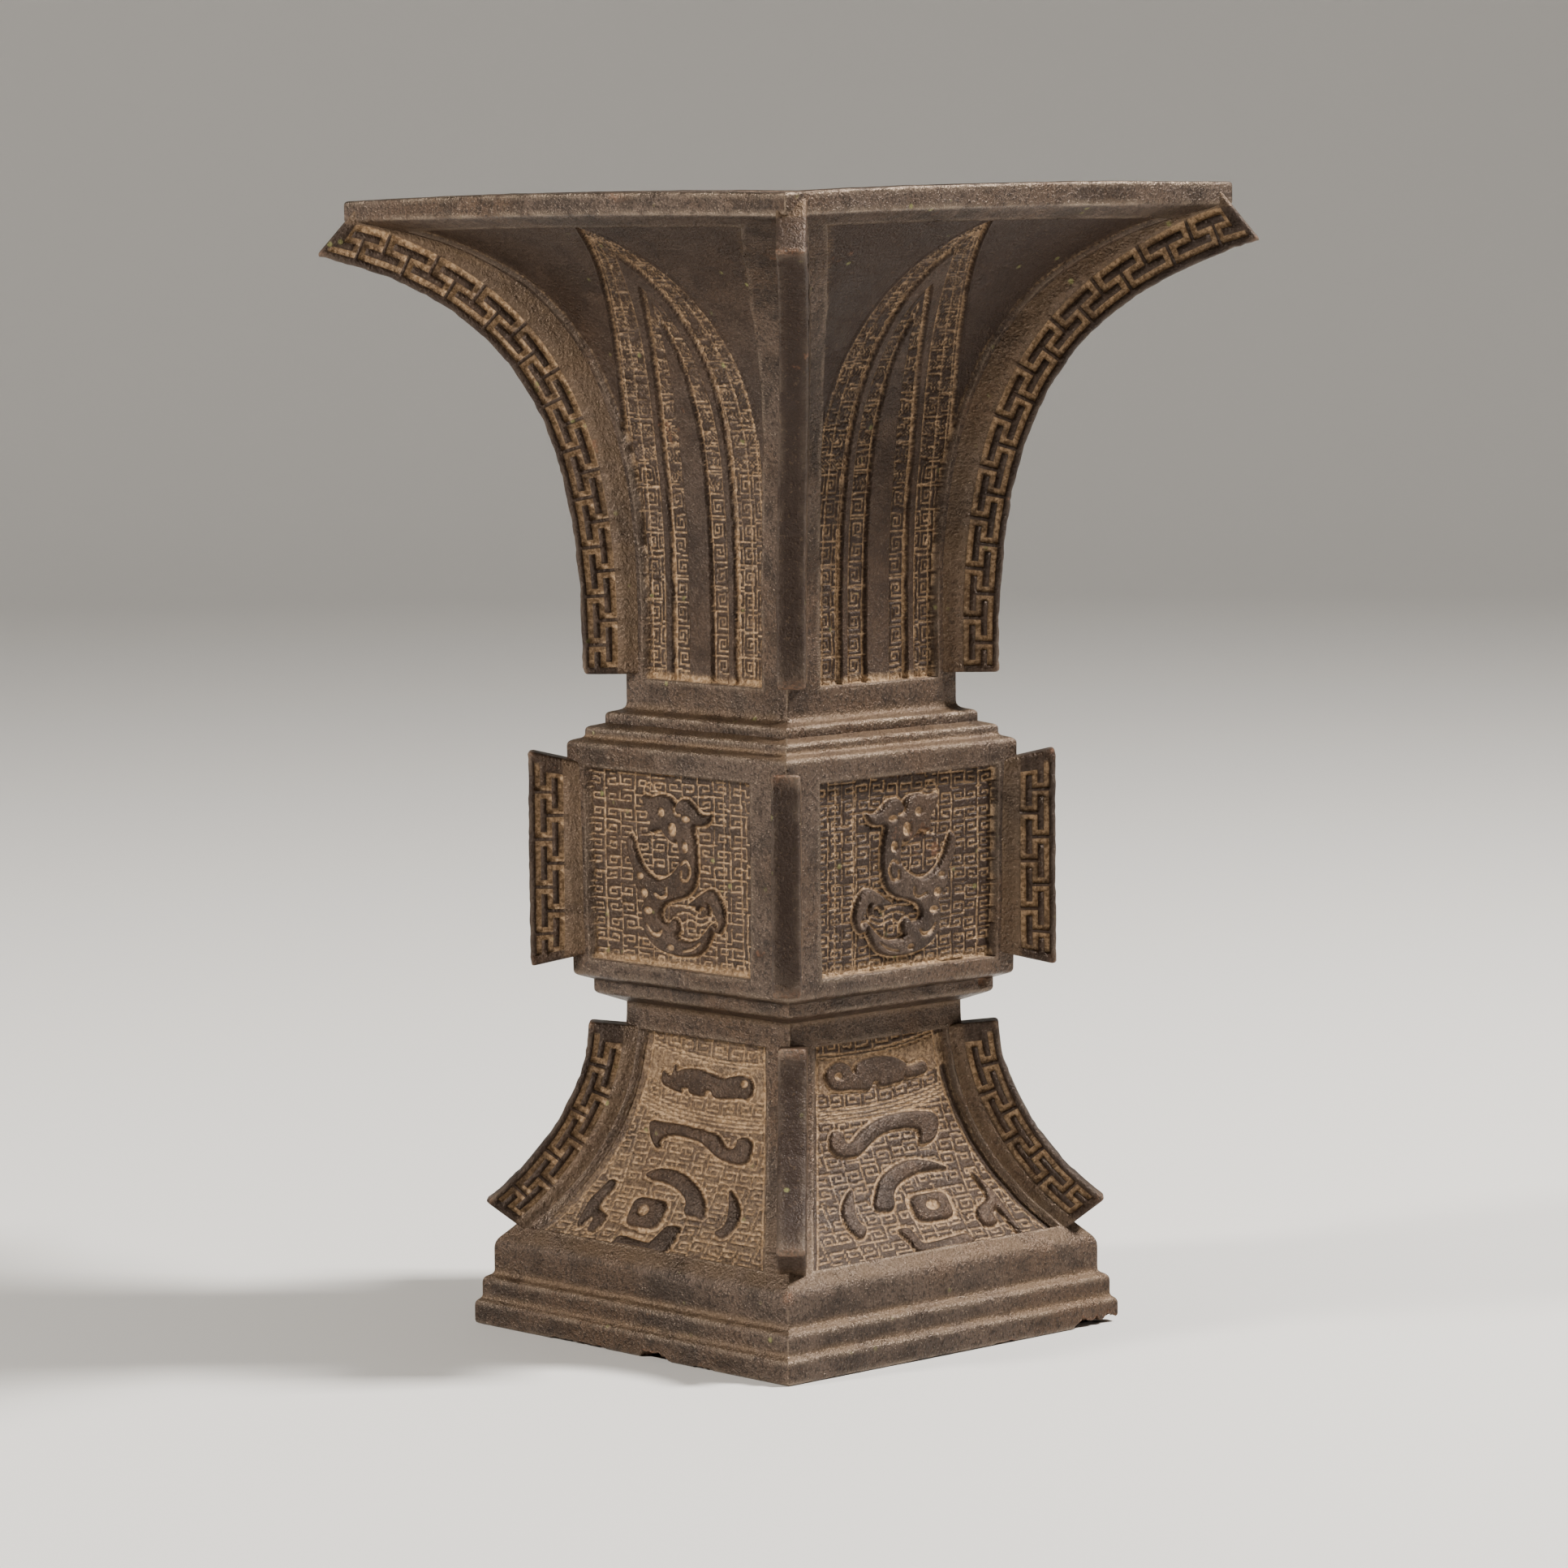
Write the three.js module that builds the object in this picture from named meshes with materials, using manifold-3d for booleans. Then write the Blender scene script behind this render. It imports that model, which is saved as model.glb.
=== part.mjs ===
// Bronze square gu, a flared square wine vase cast in one piece.
// Millimetres, +Z up, origin at the centre of the underside of the foot.
// The flat sides face X and Y. Half sizes are measured from the axis to a flat side,
// reaches are measured from the axis along a diagonal.
import * as THREE from "three";
import { mergeVertices } from "three/addons/utils/BufferGeometryUtils.js";
import Module from "manifold-3d";

const wasm = await Module();
wasm.setup();

// Sides of the square sections
const RING_SIDE = 105.4;
const LOWER_STEP_SIDE = 102.8;
const UPPER_STEP_SIDE = 98.8;
const FOOT_SIDE = 92.8;
const FOOT_NECK_SIDE = 54.6;
const UNDER_STEP_SIDE = 65.2;
const BLOCK_BOTTOM_SIDE = 71.8;
const BLOCK_TOP_SIDE = 73.2;
const OUTER_LEDGE_SIDE = 67.2;
const INNER_LEDGE_SIDE = 60.6;
const NECK_SIDE = 53.6;
const MOUTH_SIDE = 142.8;

// Heights of the stages, from the ground up
const RING_HEIGHT = 5.2;
const LOWER_STEP_HEIGHT = 5.6;
const UPPER_STEP_HEIGHT = 8.4;
const BASE_SLOPE = 3.2;
const FOOT_HEIGHT = 52.6;
const UNDER_STEP_SLOPE = 2.2;
const UNDER_STEP_HEIGHT = 3;
const BLOCK_SLOPE = 1.2;
const BLOCK_HEIGHT = 53.8;
const OUTER_LEDGE_HEIGHT = 2.3;
const INNER_LEDGE_HEIGHT = 2.4;
const LEDGE_SLOPE = 0.9;
const NECK_HEIGHT = 112;
const LIP_HEIGHT = 5.4;
const LIP_OVERHANG = 1;

// Walls of the casting
const NECK_WALL = 4;
const BELLY_WALL = 5.6;
const FOOT_WALL = 4.2;
const RING_WALL = 5.4;
const FLOOR_THICKNESS = 5;

const BELLY_CORNER = 3;
const BELLY_SHOULDER_DROP = 5;
const LIP_INSIDE_HEIGHT = 3;
const LIP_INSIDE_BEVEL = 1.5;

// Curves of the walls: where each end stops following its own direction
const FOOT_SPREAD_RUN = 13.5;
const FOOT_SPREAD_RISE = 15;
const FOOT_STRAIGHT_DROP = 20.6;
const NECK_STRAIGHT_RISE = 20;
const NECK_BEND_DROP = 28.9;
const NECK_SPREAD_RUN = 14.4;
const NECK_SPREAD_DROP = 9.1;

// Corner flanges
const FLANGE_THICKNESS = 6.4;
const FLANGE_ROOT_DEPTH = 3;
const NECK_FLANGE_REACH = 47.5;
const NECK_FLANGE_TIP_REACH = 107;
const NECK_FLANGE_TIP_DROP = 7.4;
const NECK_FLANGE_FOOT_GAP = 8;
const NECK_FLANGE_STRAIGHT = 53.6;
const NECK_FLANGE_BEND_RUN = 9.9;
const NECK_FLANGE_BEND_DROP = 13.3;
const NECK_FLANGE_LIP_GAP = 0.6;
const NECK_FLANGE_GROWTH = 0.3;
const BLOCK_FLANGE_WIDTH = 9;
const BLOCK_FLANGE_OUTER_GAP = 2;
const BLOCK_FLANGE_ROOT_GAP = 4.6;
const FOOT_FLANGE_REACH = 47;
const FOOT_FLANGE_TIP_REACH = 71.4;
const FOOT_FLANGE_TOP_GAP = 4.4;
const FOOT_FLANGE_TOP_SLOPE = 1;
const FOOT_FLANGE_TIP_RISE = 6.6;
const FOOT_FLANGE_SPREAD_RUN = 15.4;
const FOOT_FLANGE_SPREAD_RISE = 11.4;
const FOOT_FLANGE_BEND_RISE = 29;
const FLANGE_ROOT_CLEARANCE = 4;

// Interlocked T fret on the sides of the flanges
const FRET_DEPTH = 0.8;
const FRET_PITCH = 11;
const FRET_HOOK = 3.2;
const FRET_EDGE_MARGIN = 2.7;
const FRET_WIDTH = 5.3;
const FRET_END_MARGIN = 2;

// Sunk fields on the faces
const NECK_FIELD_DEPTH = 1.2;
const NECK_GROUND_DEPTH = 1.9;
const NECK_FIELD_FAR_MARGIN = 6.4;
const NECK_FIELD_NEAR_MARGIN = 8.4;
const NECK_FIELD_SILL = 7;
const NECK_FIELD_HEAD = 2.2;
const PANEL_DEPTH = 2.1;
const FIGURE_RELIEF = 1.2;
const BLOCK_PANEL_FAR_MARGIN = 6.3;
const BLOCK_PANEL_NEAR_MARGIN = 11.4;
const BLOCK_PANEL_SILL = 4;
const BLOCK_PANEL_HEAD = 5.6;
const FOOT_PANEL_FAR_MARGIN = 5.6;
const FOOT_PANEL_NEAR_MARGIN = 8;
const FOOT_PANEL_SILL = 0.6;
const FOOT_PANEL_HEAD = 6;

// Pointed leaf on each side of the neck
const LEAF_AXIS = -2.2;
const LEAF_HALF_WIDTH = 21.5;
const LEAF_TIP_DROP = 2.8;
const LEAF_SHOULDER_DROP = 52;
const BAND_OUTER_HALF = 11.4;
const BAND_INNER_HALF = 9.4;
const BAND_OUTER_TIP_DROP = 9.4;
const BAND_INNER_TIP_DROP = 16;
const BAND_SHOULDER_DROP = 57;
const SPINE_HALF = 2.8;
const SPINE_TIP_DROP = 37;
const SPINE_SHOULDER_DROP = 66;

// Shares of a leaf's half width and rise at which its sides turn in to the point
const ARCH_STRAIGHT_SHARE = 0.45;
const ARCH_BEND_WIDTH_SHARE = 0.55;
const ARCH_BEND_RISE_SHARE = 0.85;

// Numbers of straight pieces that stand for each curve
const FOOT_CURVE_STEPS = 6;
const NECK_CURVE_STEPS = 8;
const NECK_EDGE_STEPS = 10;
const FOOT_EDGE_STEPS = 7;
const ARCH_STEPS = 4;
const STROKE_STEPS = 5;
const EYE_SIDES = 10;
const PIT_SIDES = 6;

// Narrowest end of a stroke of the figures
const STROKE_END_WIDTH = 0.6;

// Stages of the outline, worked out from the sizes above
const RING_TOP = RING_HEIGHT;
const LOWER_STEP_TOP = RING_TOP + LOWER_STEP_HEIGHT;
const UPPER_STEP_TOP = LOWER_STEP_TOP + UPPER_STEP_HEIGHT;
const FOOT_BOTTOM = UPPER_STEP_TOP + BASE_SLOPE;
const FOOT_TOP = FOOT_BOTTOM + FOOT_HEIGHT;
const UNDER_STEP_BOTTOM = FOOT_TOP + UNDER_STEP_SLOPE;
const UNDER_STEP_TOP = UNDER_STEP_BOTTOM + UNDER_STEP_HEIGHT;
const BLOCK_BOTTOM = UNDER_STEP_TOP + BLOCK_SLOPE;
const BLOCK_TOP = BLOCK_BOTTOM + BLOCK_HEIGHT;
const OUTER_LEDGE_BOTTOM = BLOCK_TOP + LEDGE_SLOPE;
const OUTER_LEDGE_TOP = OUTER_LEDGE_BOTTOM + OUTER_LEDGE_HEIGHT;
const INNER_LEDGE_BOTTOM = OUTER_LEDGE_TOP + LEDGE_SLOPE;
const INNER_LEDGE_TOP = INNER_LEDGE_BOTTOM + INNER_LEDGE_HEIGHT;
const NECK_BOTTOM = INNER_LEDGE_TOP + LEDGE_SLOPE;
const NECK_TOP = NECK_BOTTOM + NECK_HEIGHT;
const RIM_TOP = NECK_TOP + LIP_HEIGHT;
const DIAGONAL = Math.SQRT2;

// Flat curve helpers
function flatCurve(start, startPull, endPull, end, steps) {
  const curve = new THREE.CubicBezierCurve(
    new THREE.Vector2(...start),
    new THREE.Vector2(...startPull),
    new THREE.Vector2(...endPull),
    new THREE.Vector2(...end),
  );
  return curve.getPoints(steps);
}

// Shifts an open line sideways by a distance given by a number or by a function of its share
function offsetLine(line, distance) {
  return line.map((point, i) => {
    const before = line[Math.max(i - 1, 0)];
    const after = line[Math.min(i + 1, line.length - 1)];
    const along = new THREE.Vector2().subVectors(after, before).normalize();
    const shift = typeof distance === "function" ? distance(i / (line.length - 1)) : distance;
    return new THREE.Vector2(point.x - along.y * shift, point.y + along.x * shift);
  });
}

// Outline of a stroke that follows a smooth curve through [u, v, width] points
function strokeOutline(points, steps) {
  const middle = new THREE.SplineCurve(points.map(([u, v]) => new THREE.Vector2(u, v)));
  const widths = new THREE.SplineCurve(points.map(([, , width], i) => new THREE.Vector2(i, width)));
  const line = middle.getPoints(steps);
  const half = (share) => Math.max(widths.getPoint(share).y, STROKE_END_WIDTH) / 2;
  const left = offsetLine(line, half);
  const right = offsetLine(line, (share) => -half(share));
  return [...left, ...right.reverse()];
}

function ellipseOutline(u, v, halfWidth, halfHeight, sides, power = 1) {
  const outline = [];
  for (let i = 0; i < sides; i += 1) {
    const turn = (2 * Math.PI * (i + 0.5)) / sides;
    const bulge = (value) => Math.sign(value) * Math.abs(value) ** power;
    outline.push(new THREE.Vector2(
      u + halfWidth * bulge(Math.cos(turn)),
      v + halfHeight * bulge(Math.sin(turn)),
    ));
  }
  return outline;
}

// Solid helpers
function solidOf(geometry, mirrored = false) {
  geometry.deleteAttribute("normal");
  geometry.deleteAttribute("uv");
  const merged = mergeVertices(geometry, 1e-4);
  const index = merged.index.array;
  const triangles = [];
  for (let i = 0; i < index.length; i += 3) {
    const [a, b, c] = mirrored ? [index[i], index[i + 2], index[i + 1]] : index.slice(i, i + 3);
    if (a !== b && b !== c && c !== a) triangles.push(a, b, c);
  }
  return new wasm.Manifold(new wasm.Mesh({
    numProp: 3,
    vertProperties: new Float32Array(merged.attributes.position.array),
    triVerts: new Uint32Array(triangles),
  }));
}

// Square solid turned from a profile of [half size, height] points on and off the axis
function squareGeometry(profile) {
  const points = profile.map((point) => new THREE.Vector2(point.x * DIAGONAL, point.y));
  const first = points[0];
  const last = points[points.length - 1];
  const closed = [new THREE.Vector2(0, first.y), ...points, new THREE.Vector2(0, last.y)];
  return new THREE.LatheGeometry(closed, 4, Math.PI / 4);
}

function squareSolid(profile) {
  const geometry = squareGeometry(profile);
  geometry.rotateX(Math.PI / 2);
  return solidOf(geometry);
}

// Upright plate drawn in its own plane, from one distance to another off that plane
function plate(outline, low, high) {
  const geometry = new THREE.ExtrudeGeometry(new THREE.Shape(outline), {
    depth: high - low,
    bevelEnabled: false,
    steps: 1,
  });
  geometry.translate(0, 0, low);
  return solidOf(geometry);
}

function geometryOf(solid) {
  const mesh = solid.getMesh();
  const geometry = new THREE.BufferGeometry();
  geometry.setAttribute("position", new THREE.BufferAttribute(mesh.vertProperties, 3));
  geometry.setIndex(new THREE.BufferAttribute(mesh.triVerts, 1));
  return geometry;
}

// Copy of a solid drawn in a plane, stood up with its width along one direction and its depth along another
function stoodUp(solid, along, out) {
  const placed = new THREE.Matrix4().makeBasis(
    new THREE.Vector3(...along),
    new THREE.Vector3(0, 0, 1),
    new THREE.Vector3(...out),
  );
  const geometry = geometryOf(solid);
  geometry.applyMatrix4(placed);
  return solidOf(geometry, placed.determinant() < 0);
}

// The four faces: the pattern is mirrored across every corner, so opposite faces match
const FACES = [
  { along: [1, 0, 0], out: [0, -1, 0] },
  { along: [0, -1, 0], out: [1, 0, 0] },
  { along: [-1, 0, 0], out: [0, 1, 0] },
  { along: [0, 1, 0], out: [-1, 0, 0] },
];

// Outline of the casting, in half sizes and heights
const footCurve = flatCurve(
  [FOOT_SIDE / 2, FOOT_BOTTOM],
  [FOOT_SIDE / 2 - FOOT_SPREAD_RUN, FOOT_BOTTOM + FOOT_SPREAD_RISE],
  [FOOT_NECK_SIDE / 2, FOOT_TOP - FOOT_STRAIGHT_DROP],
  [FOOT_NECK_SIDE / 2, FOOT_TOP],
  FOOT_CURVE_STEPS,
);
const neckCurve = flatCurve(
  [NECK_SIDE / 2, NECK_BOTTOM + NECK_STRAIGHT_RISE],
  [NECK_SIDE / 2, NECK_TOP - NECK_BEND_DROP],
  [NECK_SIDE / 2 + NECK_SPREAD_RUN, NECK_TOP - NECK_SPREAD_DROP],
  [MOUTH_SIDE / 2 - LIP_OVERHANG, NECK_TOP],
  NECK_CURVE_STEPS,
);

function profileOf(pairs) {
  return pairs.map(([x, y]) => new THREE.Vector2(x, y));
}

const outerProfile = [
  ...profileOf([
    [RING_SIDE / 2, 0],
    [RING_SIDE / 2, RING_TOP],
    [LOWER_STEP_SIDE / 2, RING_TOP + LEDGE_SLOPE],
    [LOWER_STEP_SIDE / 2, LOWER_STEP_TOP],
    [UPPER_STEP_SIDE / 2, LOWER_STEP_TOP + LEDGE_SLOPE],
    [UPPER_STEP_SIDE / 2, UPPER_STEP_TOP],
  ]),
  ...footCurve,
  ...profileOf([
    [UNDER_STEP_SIDE / 2, UNDER_STEP_BOTTOM],
    [UNDER_STEP_SIDE / 2, UNDER_STEP_TOP],
    [BLOCK_BOTTOM_SIDE / 2, BLOCK_BOTTOM],
    [BLOCK_TOP_SIDE / 2, BLOCK_TOP],
    [OUTER_LEDGE_SIDE / 2, OUTER_LEDGE_BOTTOM],
    [OUTER_LEDGE_SIDE / 2, OUTER_LEDGE_TOP],
    [INNER_LEDGE_SIDE / 2, INNER_LEDGE_BOTTOM],
    [INNER_LEDGE_SIDE / 2, INNER_LEDGE_TOP],
    [NECK_SIDE / 2, NECK_BOTTOM],
  ]),
  ...neckCurve,
  ...profileOf([
    [MOUTH_SIDE / 2, NECK_TOP + LIP_OVERHANG / 2],
    [MOUTH_SIDE / 2, RIM_TOP],
  ]),
];

// Half size of the outer surface at a height
function halfAt(height) {
  const above = outerProfile.findIndex((point) => point.y >= height);
  if (above <= 0) return outerProfile[Math.max(above, 0)].x;
  const low = outerProfile[above - 1];
  const high = outerProfile[above];
  const share = (height - low.y) / Math.max(high.y - low.y, 1e-6);
  return low.x + (high.x - low.x) * share;
}

// Copy of the outer shape with every side drawn in by a depth, lying with its height along Y as plates do
function drawnIn(depth) {
  const profile = outerProfile.map((point) => new THREE.Vector2(point.x - depth, point.y));
  return solidOf(squareGeometry(profile));
}

// Hollows: the vessel above the floor and the open foot below it
const bellyFloor = BLOCK_BOTTOM + FLOOR_THICKNESS / 2;

function vesselHollow() {
  const wall = offsetLine(neckCurve, NECK_WALL).filter((point) => point.y < RIM_TOP - LIP_INSIDE_HEIGHT);
  const throat = NECK_SIDE / 2 - NECK_WALL;
  const belly = BLOCK_BOTTOM_SIDE / 2 - BELLY_WALL;
  const mouth = MOUTH_SIDE / 2 - NECK_WALL;
  return squareSolid([
    ...profileOf([
      [belly - BELLY_CORNER, bellyFloor],
      [belly, bellyFloor + BELLY_CORNER],
      [belly, BLOCK_TOP - BELLY_SHOULDER_DROP],
      [throat, NECK_BOTTOM],
    ]),
    ...wall,
    ...profileOf([
      [mouth, RIM_TOP - LIP_INSIDE_BEVEL],
      [mouth, RIM_TOP + LIP_HEIGHT],
    ]),
  ]);
}

function footHollow() {
  const wall = offsetLine(footCurve, FOOT_WALL);
  const top = bellyFloor - FLOOR_THICKNESS;
  const inside = wall.filter((point) => point.y > UPPER_STEP_TOP && point.y < top - FLOOR_THICKNESS / 2);
  const ringInside = RING_SIDE / 2 - RING_WALL;
  return squareSolid([
    ...profileOf([
      [ringInside, -RING_HEIGHT],
      [ringInside, RING_TOP],
      [UPPER_STEP_SIDE / 2 - RING_WALL, LOWER_STEP_TOP],
    ]),
    ...inside,
    ...profileOf([[FOOT_NECK_SIDE / 2 - FOOT_WALL, top]]),
  ]);
}

// Flanges, drawn in reach and height
function neckFlange() {
  const bottom = NECK_BOTTOM + NECK_FLANGE_FOOT_GAP;
  const tipHeight = NECK_TOP - NECK_FLANGE_TIP_DROP;
  const edge = flatCurve(
    [NECK_FLANGE_REACH, bottom],
    [NECK_FLANGE_REACH, bottom + NECK_FLANGE_STRAIGHT],
    [NECK_FLANGE_REACH + NECK_FLANGE_BEND_RUN, tipHeight - NECK_FLANGE_BEND_DROP],
    [NECK_FLANGE_TIP_REACH, tipHeight],
    NECK_EDGE_STEPS,
  );
  const root = neckCurve.filter((point) => point.y > bottom + FLANGE_ROOT_CLEARANCE).map((point) =>
    new THREE.Vector2(point.x * DIAGONAL - FLANGE_ROOT_DEPTH, point.y));
  const under = new THREE.Vector2((NECK_SIDE / 2) * DIAGONAL - FLANGE_ROOT_DEPTH, bottom);
  const lip = new THREE.Vector2(
    (MOUTH_SIDE / 2) * DIAGONAL - NECK_FLANGE_LIP_GAP, NECK_TOP + LIP_OVERHANG / 2);
  return { edge, end: [lip], root: [under, ...root], growth: NECK_FLANGE_GROWTH };
}

function blockFlange() {
  const half = (BLOCK_BOTTOM_SIDE + BLOCK_TOP_SIDE) / 4;
  const outerReach = half * DIAGONAL + BLOCK_FLANGE_WIDTH;
  const innerReach = half * DIAGONAL - FLANGE_ROOT_DEPTH;
  const low = BLOCK_BOTTOM + BLOCK_FLANGE_OUTER_GAP;
  const high = BLOCK_TOP - BLOCK_FLANGE_OUTER_GAP;
  const edge = profileOf([
    [outerReach, low],
    [outerReach, high],
  ]);
  const root = profileOf([
    [innerReach, BLOCK_BOTTOM + BLOCK_FLANGE_ROOT_GAP],
    [innerReach, BLOCK_TOP - BLOCK_FLANGE_ROOT_GAP],
  ]);
  return { edge, end: [], root, growth: 0 };
}

function footFlange() {
  const top = FOOT_TOP - FOOT_FLANGE_TOP_GAP;
  const tipHeight = FOOT_BOTTOM + FOOT_FLANGE_TIP_RISE;
  const edge = flatCurve(
    [FOOT_FLANGE_TIP_REACH, tipHeight],
    [FOOT_FLANGE_TIP_REACH - FOOT_FLANGE_SPREAD_RUN, tipHeight + FOOT_FLANGE_SPREAD_RISE],
    [FOOT_FLANGE_REACH, tipHeight + FOOT_FLANGE_BEND_RISE],
    [FOOT_FLANGE_REACH, top],
    FOOT_EDGE_STEPS,
  );
  const root = footCurve.filter((point) => point.y < top - FLANGE_ROOT_CLEARANCE).map((point) =>
    new THREE.Vector2(point.x * DIAGONAL - FLANGE_ROOT_DEPTH, point.y));
  const over = new THREE.Vector2(
    (FOOT_NECK_SIDE / 2) * DIAGONAL - FLANGE_ROOT_DEPTH, top - FOOT_FLANGE_TOP_SLOPE);
  return { edge, end: [], root: [...root, over], growth: 0 };
}

// Point at a run along a line, moved across it towards the root
function spotBeside(line, run, across) {
  let left = run;
  let i = 1;
  while (i < line.length - 1 && left > line[i].distanceTo(line[i - 1])) {
    left -= line[i].distanceTo(line[i - 1]);
    i += 1;
  }
  const along = new THREE.Vector2().subVectors(line[i], line[i - 1]).normalize();
  const inward = new THREE.Vector2(-along.y, along.x);
  return line[i - 1].clone().addScaledVector(along, left).addScaledVector(inward, across);
}

function lengthOf(line) {
  return line.slice(1).reduce((sum, point, i) => sum + point.distanceTo(line[i]), 0);
}

// Sunk cells of the T fret: a bar beside the edge narrowing to a stem towards the root,
// spaced so that the raised ground between them forms the same T upside down
function fretCells(flange) {
  const total = lengthOf(flange.edge);
  const units = Math.max(Math.floor((total - 2 * FRET_END_MARGIN) / FRET_PITCH), 1);
  const start = (total - units * FRET_PITCH) / 2;
  const bar = (FRET_PITCH / 2 + FRET_HOOK) / 2;
  const stem = (FRET_PITCH / 2 - FRET_HOOK) / 2;
  const cell = [[-bar, 0], [bar, 0], [bar, 0.4], [stem, 1], [-stem, 1], [-bar, 0.4]];
  const cells = [];
  for (let i = 0; i < units; i += 1) {
    const middle = start + (i + 0.5) * FRET_PITCH;
    cells.push(cell.map(([run, across]) => {
      const growth = 1 + flange.growth * ((middle + run) / total);
      return spotBeside(flange.edge, middle + run, (FRET_EDGE_MARGIN + FRET_WIDTH * across) * growth);
    }));
  }
  return cells;
}

function flangeSolid(flange) {
  const half = FLANGE_THICKNESS / 2;
  const outline = [...flange.edge, ...flange.end, ...flange.root.slice().reverse()];
  const cuts = fretCells(flange).flatMap((cell) => [
    plate(cell, half - FRET_DEPTH, half + 1),
    plate(cell, -half - 1, FRET_DEPTH - half),
  ]);
  return plate(outline, -half, half).subtract(wasm.Manifold.union(cuts));
}

// Outline of a sunk field that follows the corners of the casting at a margin on each side
function fieldOutline(low, high, farMargin, nearMargin) {
  const between = outerProfile.map((point) => point.y).filter((y) => y > low + 0.5 && y < high - 0.5);
  const heights = [low, ...between, high];
  const far = heights.map((y) => new THREE.Vector2(farMargin - halfAt(y), y));
  const near = heights.map((y) => new THREE.Vector2(halfAt(y) - nearMargin, y));
  return [...near, ...far.reverse()];
}

// Pointed arch with straight sides below its shoulders
function archOutline(axis, half, low, shoulder, tip) {
  const rise = tip - shoulder;
  const side = flatCurve(
    [half, shoulder],
    [half, shoulder + rise * ARCH_STRAIGHT_SHARE],
    [half * ARCH_BEND_WIDTH_SHARE, shoulder + rise * ARCH_BEND_RISE_SHARE],
    [0, tip],
    ARCH_STEPS,
  );
  const right = [new THREE.Vector2(half, low), ...side];
  const left = right.slice(0, -1).reverse().map((point) => new THREE.Vector2(-point.x, point.y));
  return [...right, ...left].map((point) => new THREE.Vector2(point.x + axis, point.y));
}

// Plates that cut a face run from inside the wall to well outside the mouth
const CUT_START = Math.min(NECK_SIDE, FOOT_NECK_SIDE) / 4;
const CUT_END = MOUTH_SIDE;

// Strokes of the figures, as [along the face, height above the panel's sill, width]
const CREATURE_STROKES = [
  [[-12, 39, 1], [-8, 36.8, 4.6], [-4, 36, 7], [0, 35.6, 6.6], [4, 34.6, 5], [7.5, 34, 2.6], [10, 35.8, 1]],
  [[-5, 35, 5.4], [-3.6, 31.4, 3.8], [-2.6, 28.6, 0.8]],
  [[2, 34, 5], [3.4, 28, 4.4], [2.8, 22.6, 5.4], [-1.4, 18.6, 5.6], [-6, 17.4, 6.2], [-10.6, 17.6, 6.6]],
  [[-9.6, 18.4, 5], [-13.6, 21, 4], [-15.8, 25.4, 2.8], [-15.8, 30, 1]],
  [
    [-9.8, 19, 6.8], [-10.8, 13.4, 5.4], [-9, 8.6, 6], [-3.4, 5.6, 6],
    [3, 5.6, 4.4], [7.6, 8, 2.6], [9.8, 10.8, 1],
  ],
  [[3.6, 16.4, 1], [7, 16.8, 3], [10.6, 17, 4.4], [12.4, 14, 3.4], [12.4, 11, 2.6], [10.6, 10.4, 1]],
];
const FOOT_STROKES = [
  [[-15, 35.6, 2.2], [-9.4, 36.2, 4.6], [0, 36.3, 5.6], [7, 36, 4.6], [12.4, 36.6, 4.8]],
  [
    [-15, 23.4, 2.2], [-14.6, 25, 4.4], [-8.6, 25.6, 3], [-1.6, 25.5, 3],
    [4.6, 24.2, 3.4], [9.6, 22.2, 3.6], [14.6, 22.4, 4], [16.6, 24.2, 3.2],
  ],
  [[-14.2, 14.4, 1], [-9, 15.6, 2.2], [-3.4, 15.4, 3.2], [2, 13.8, 4.2], [5.6, 11.2, 4.6], [6.6, 9.4, 4.8]],
  [[15, 15, 0.8], [17.4, 12.2, 3.6], [17.8, 9, 3.8], [15.4, 6.2, 1.2]],
  [[-13, 1.9, 2.4], [-3.6, 1.9, 3], [1.4, 4.4, 3.4]],
];
const EYE = { u: -8.9, v: 7.6, halfWidth: 5.7, halfHeight: 2.9, squareness: 0.7, pitWidth: 1.7, pitHeight: 1 };
const CREATURE_EYE = { u: -6, v: 35.8, pit: 1.2 };

function strokesAbove(strokes, sill) {
  return strokes.map((stroke) => strokeOutline(stroke.map(([u, v, w]) => [u, v + sill, w]), STROKE_STEPS));
}

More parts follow.
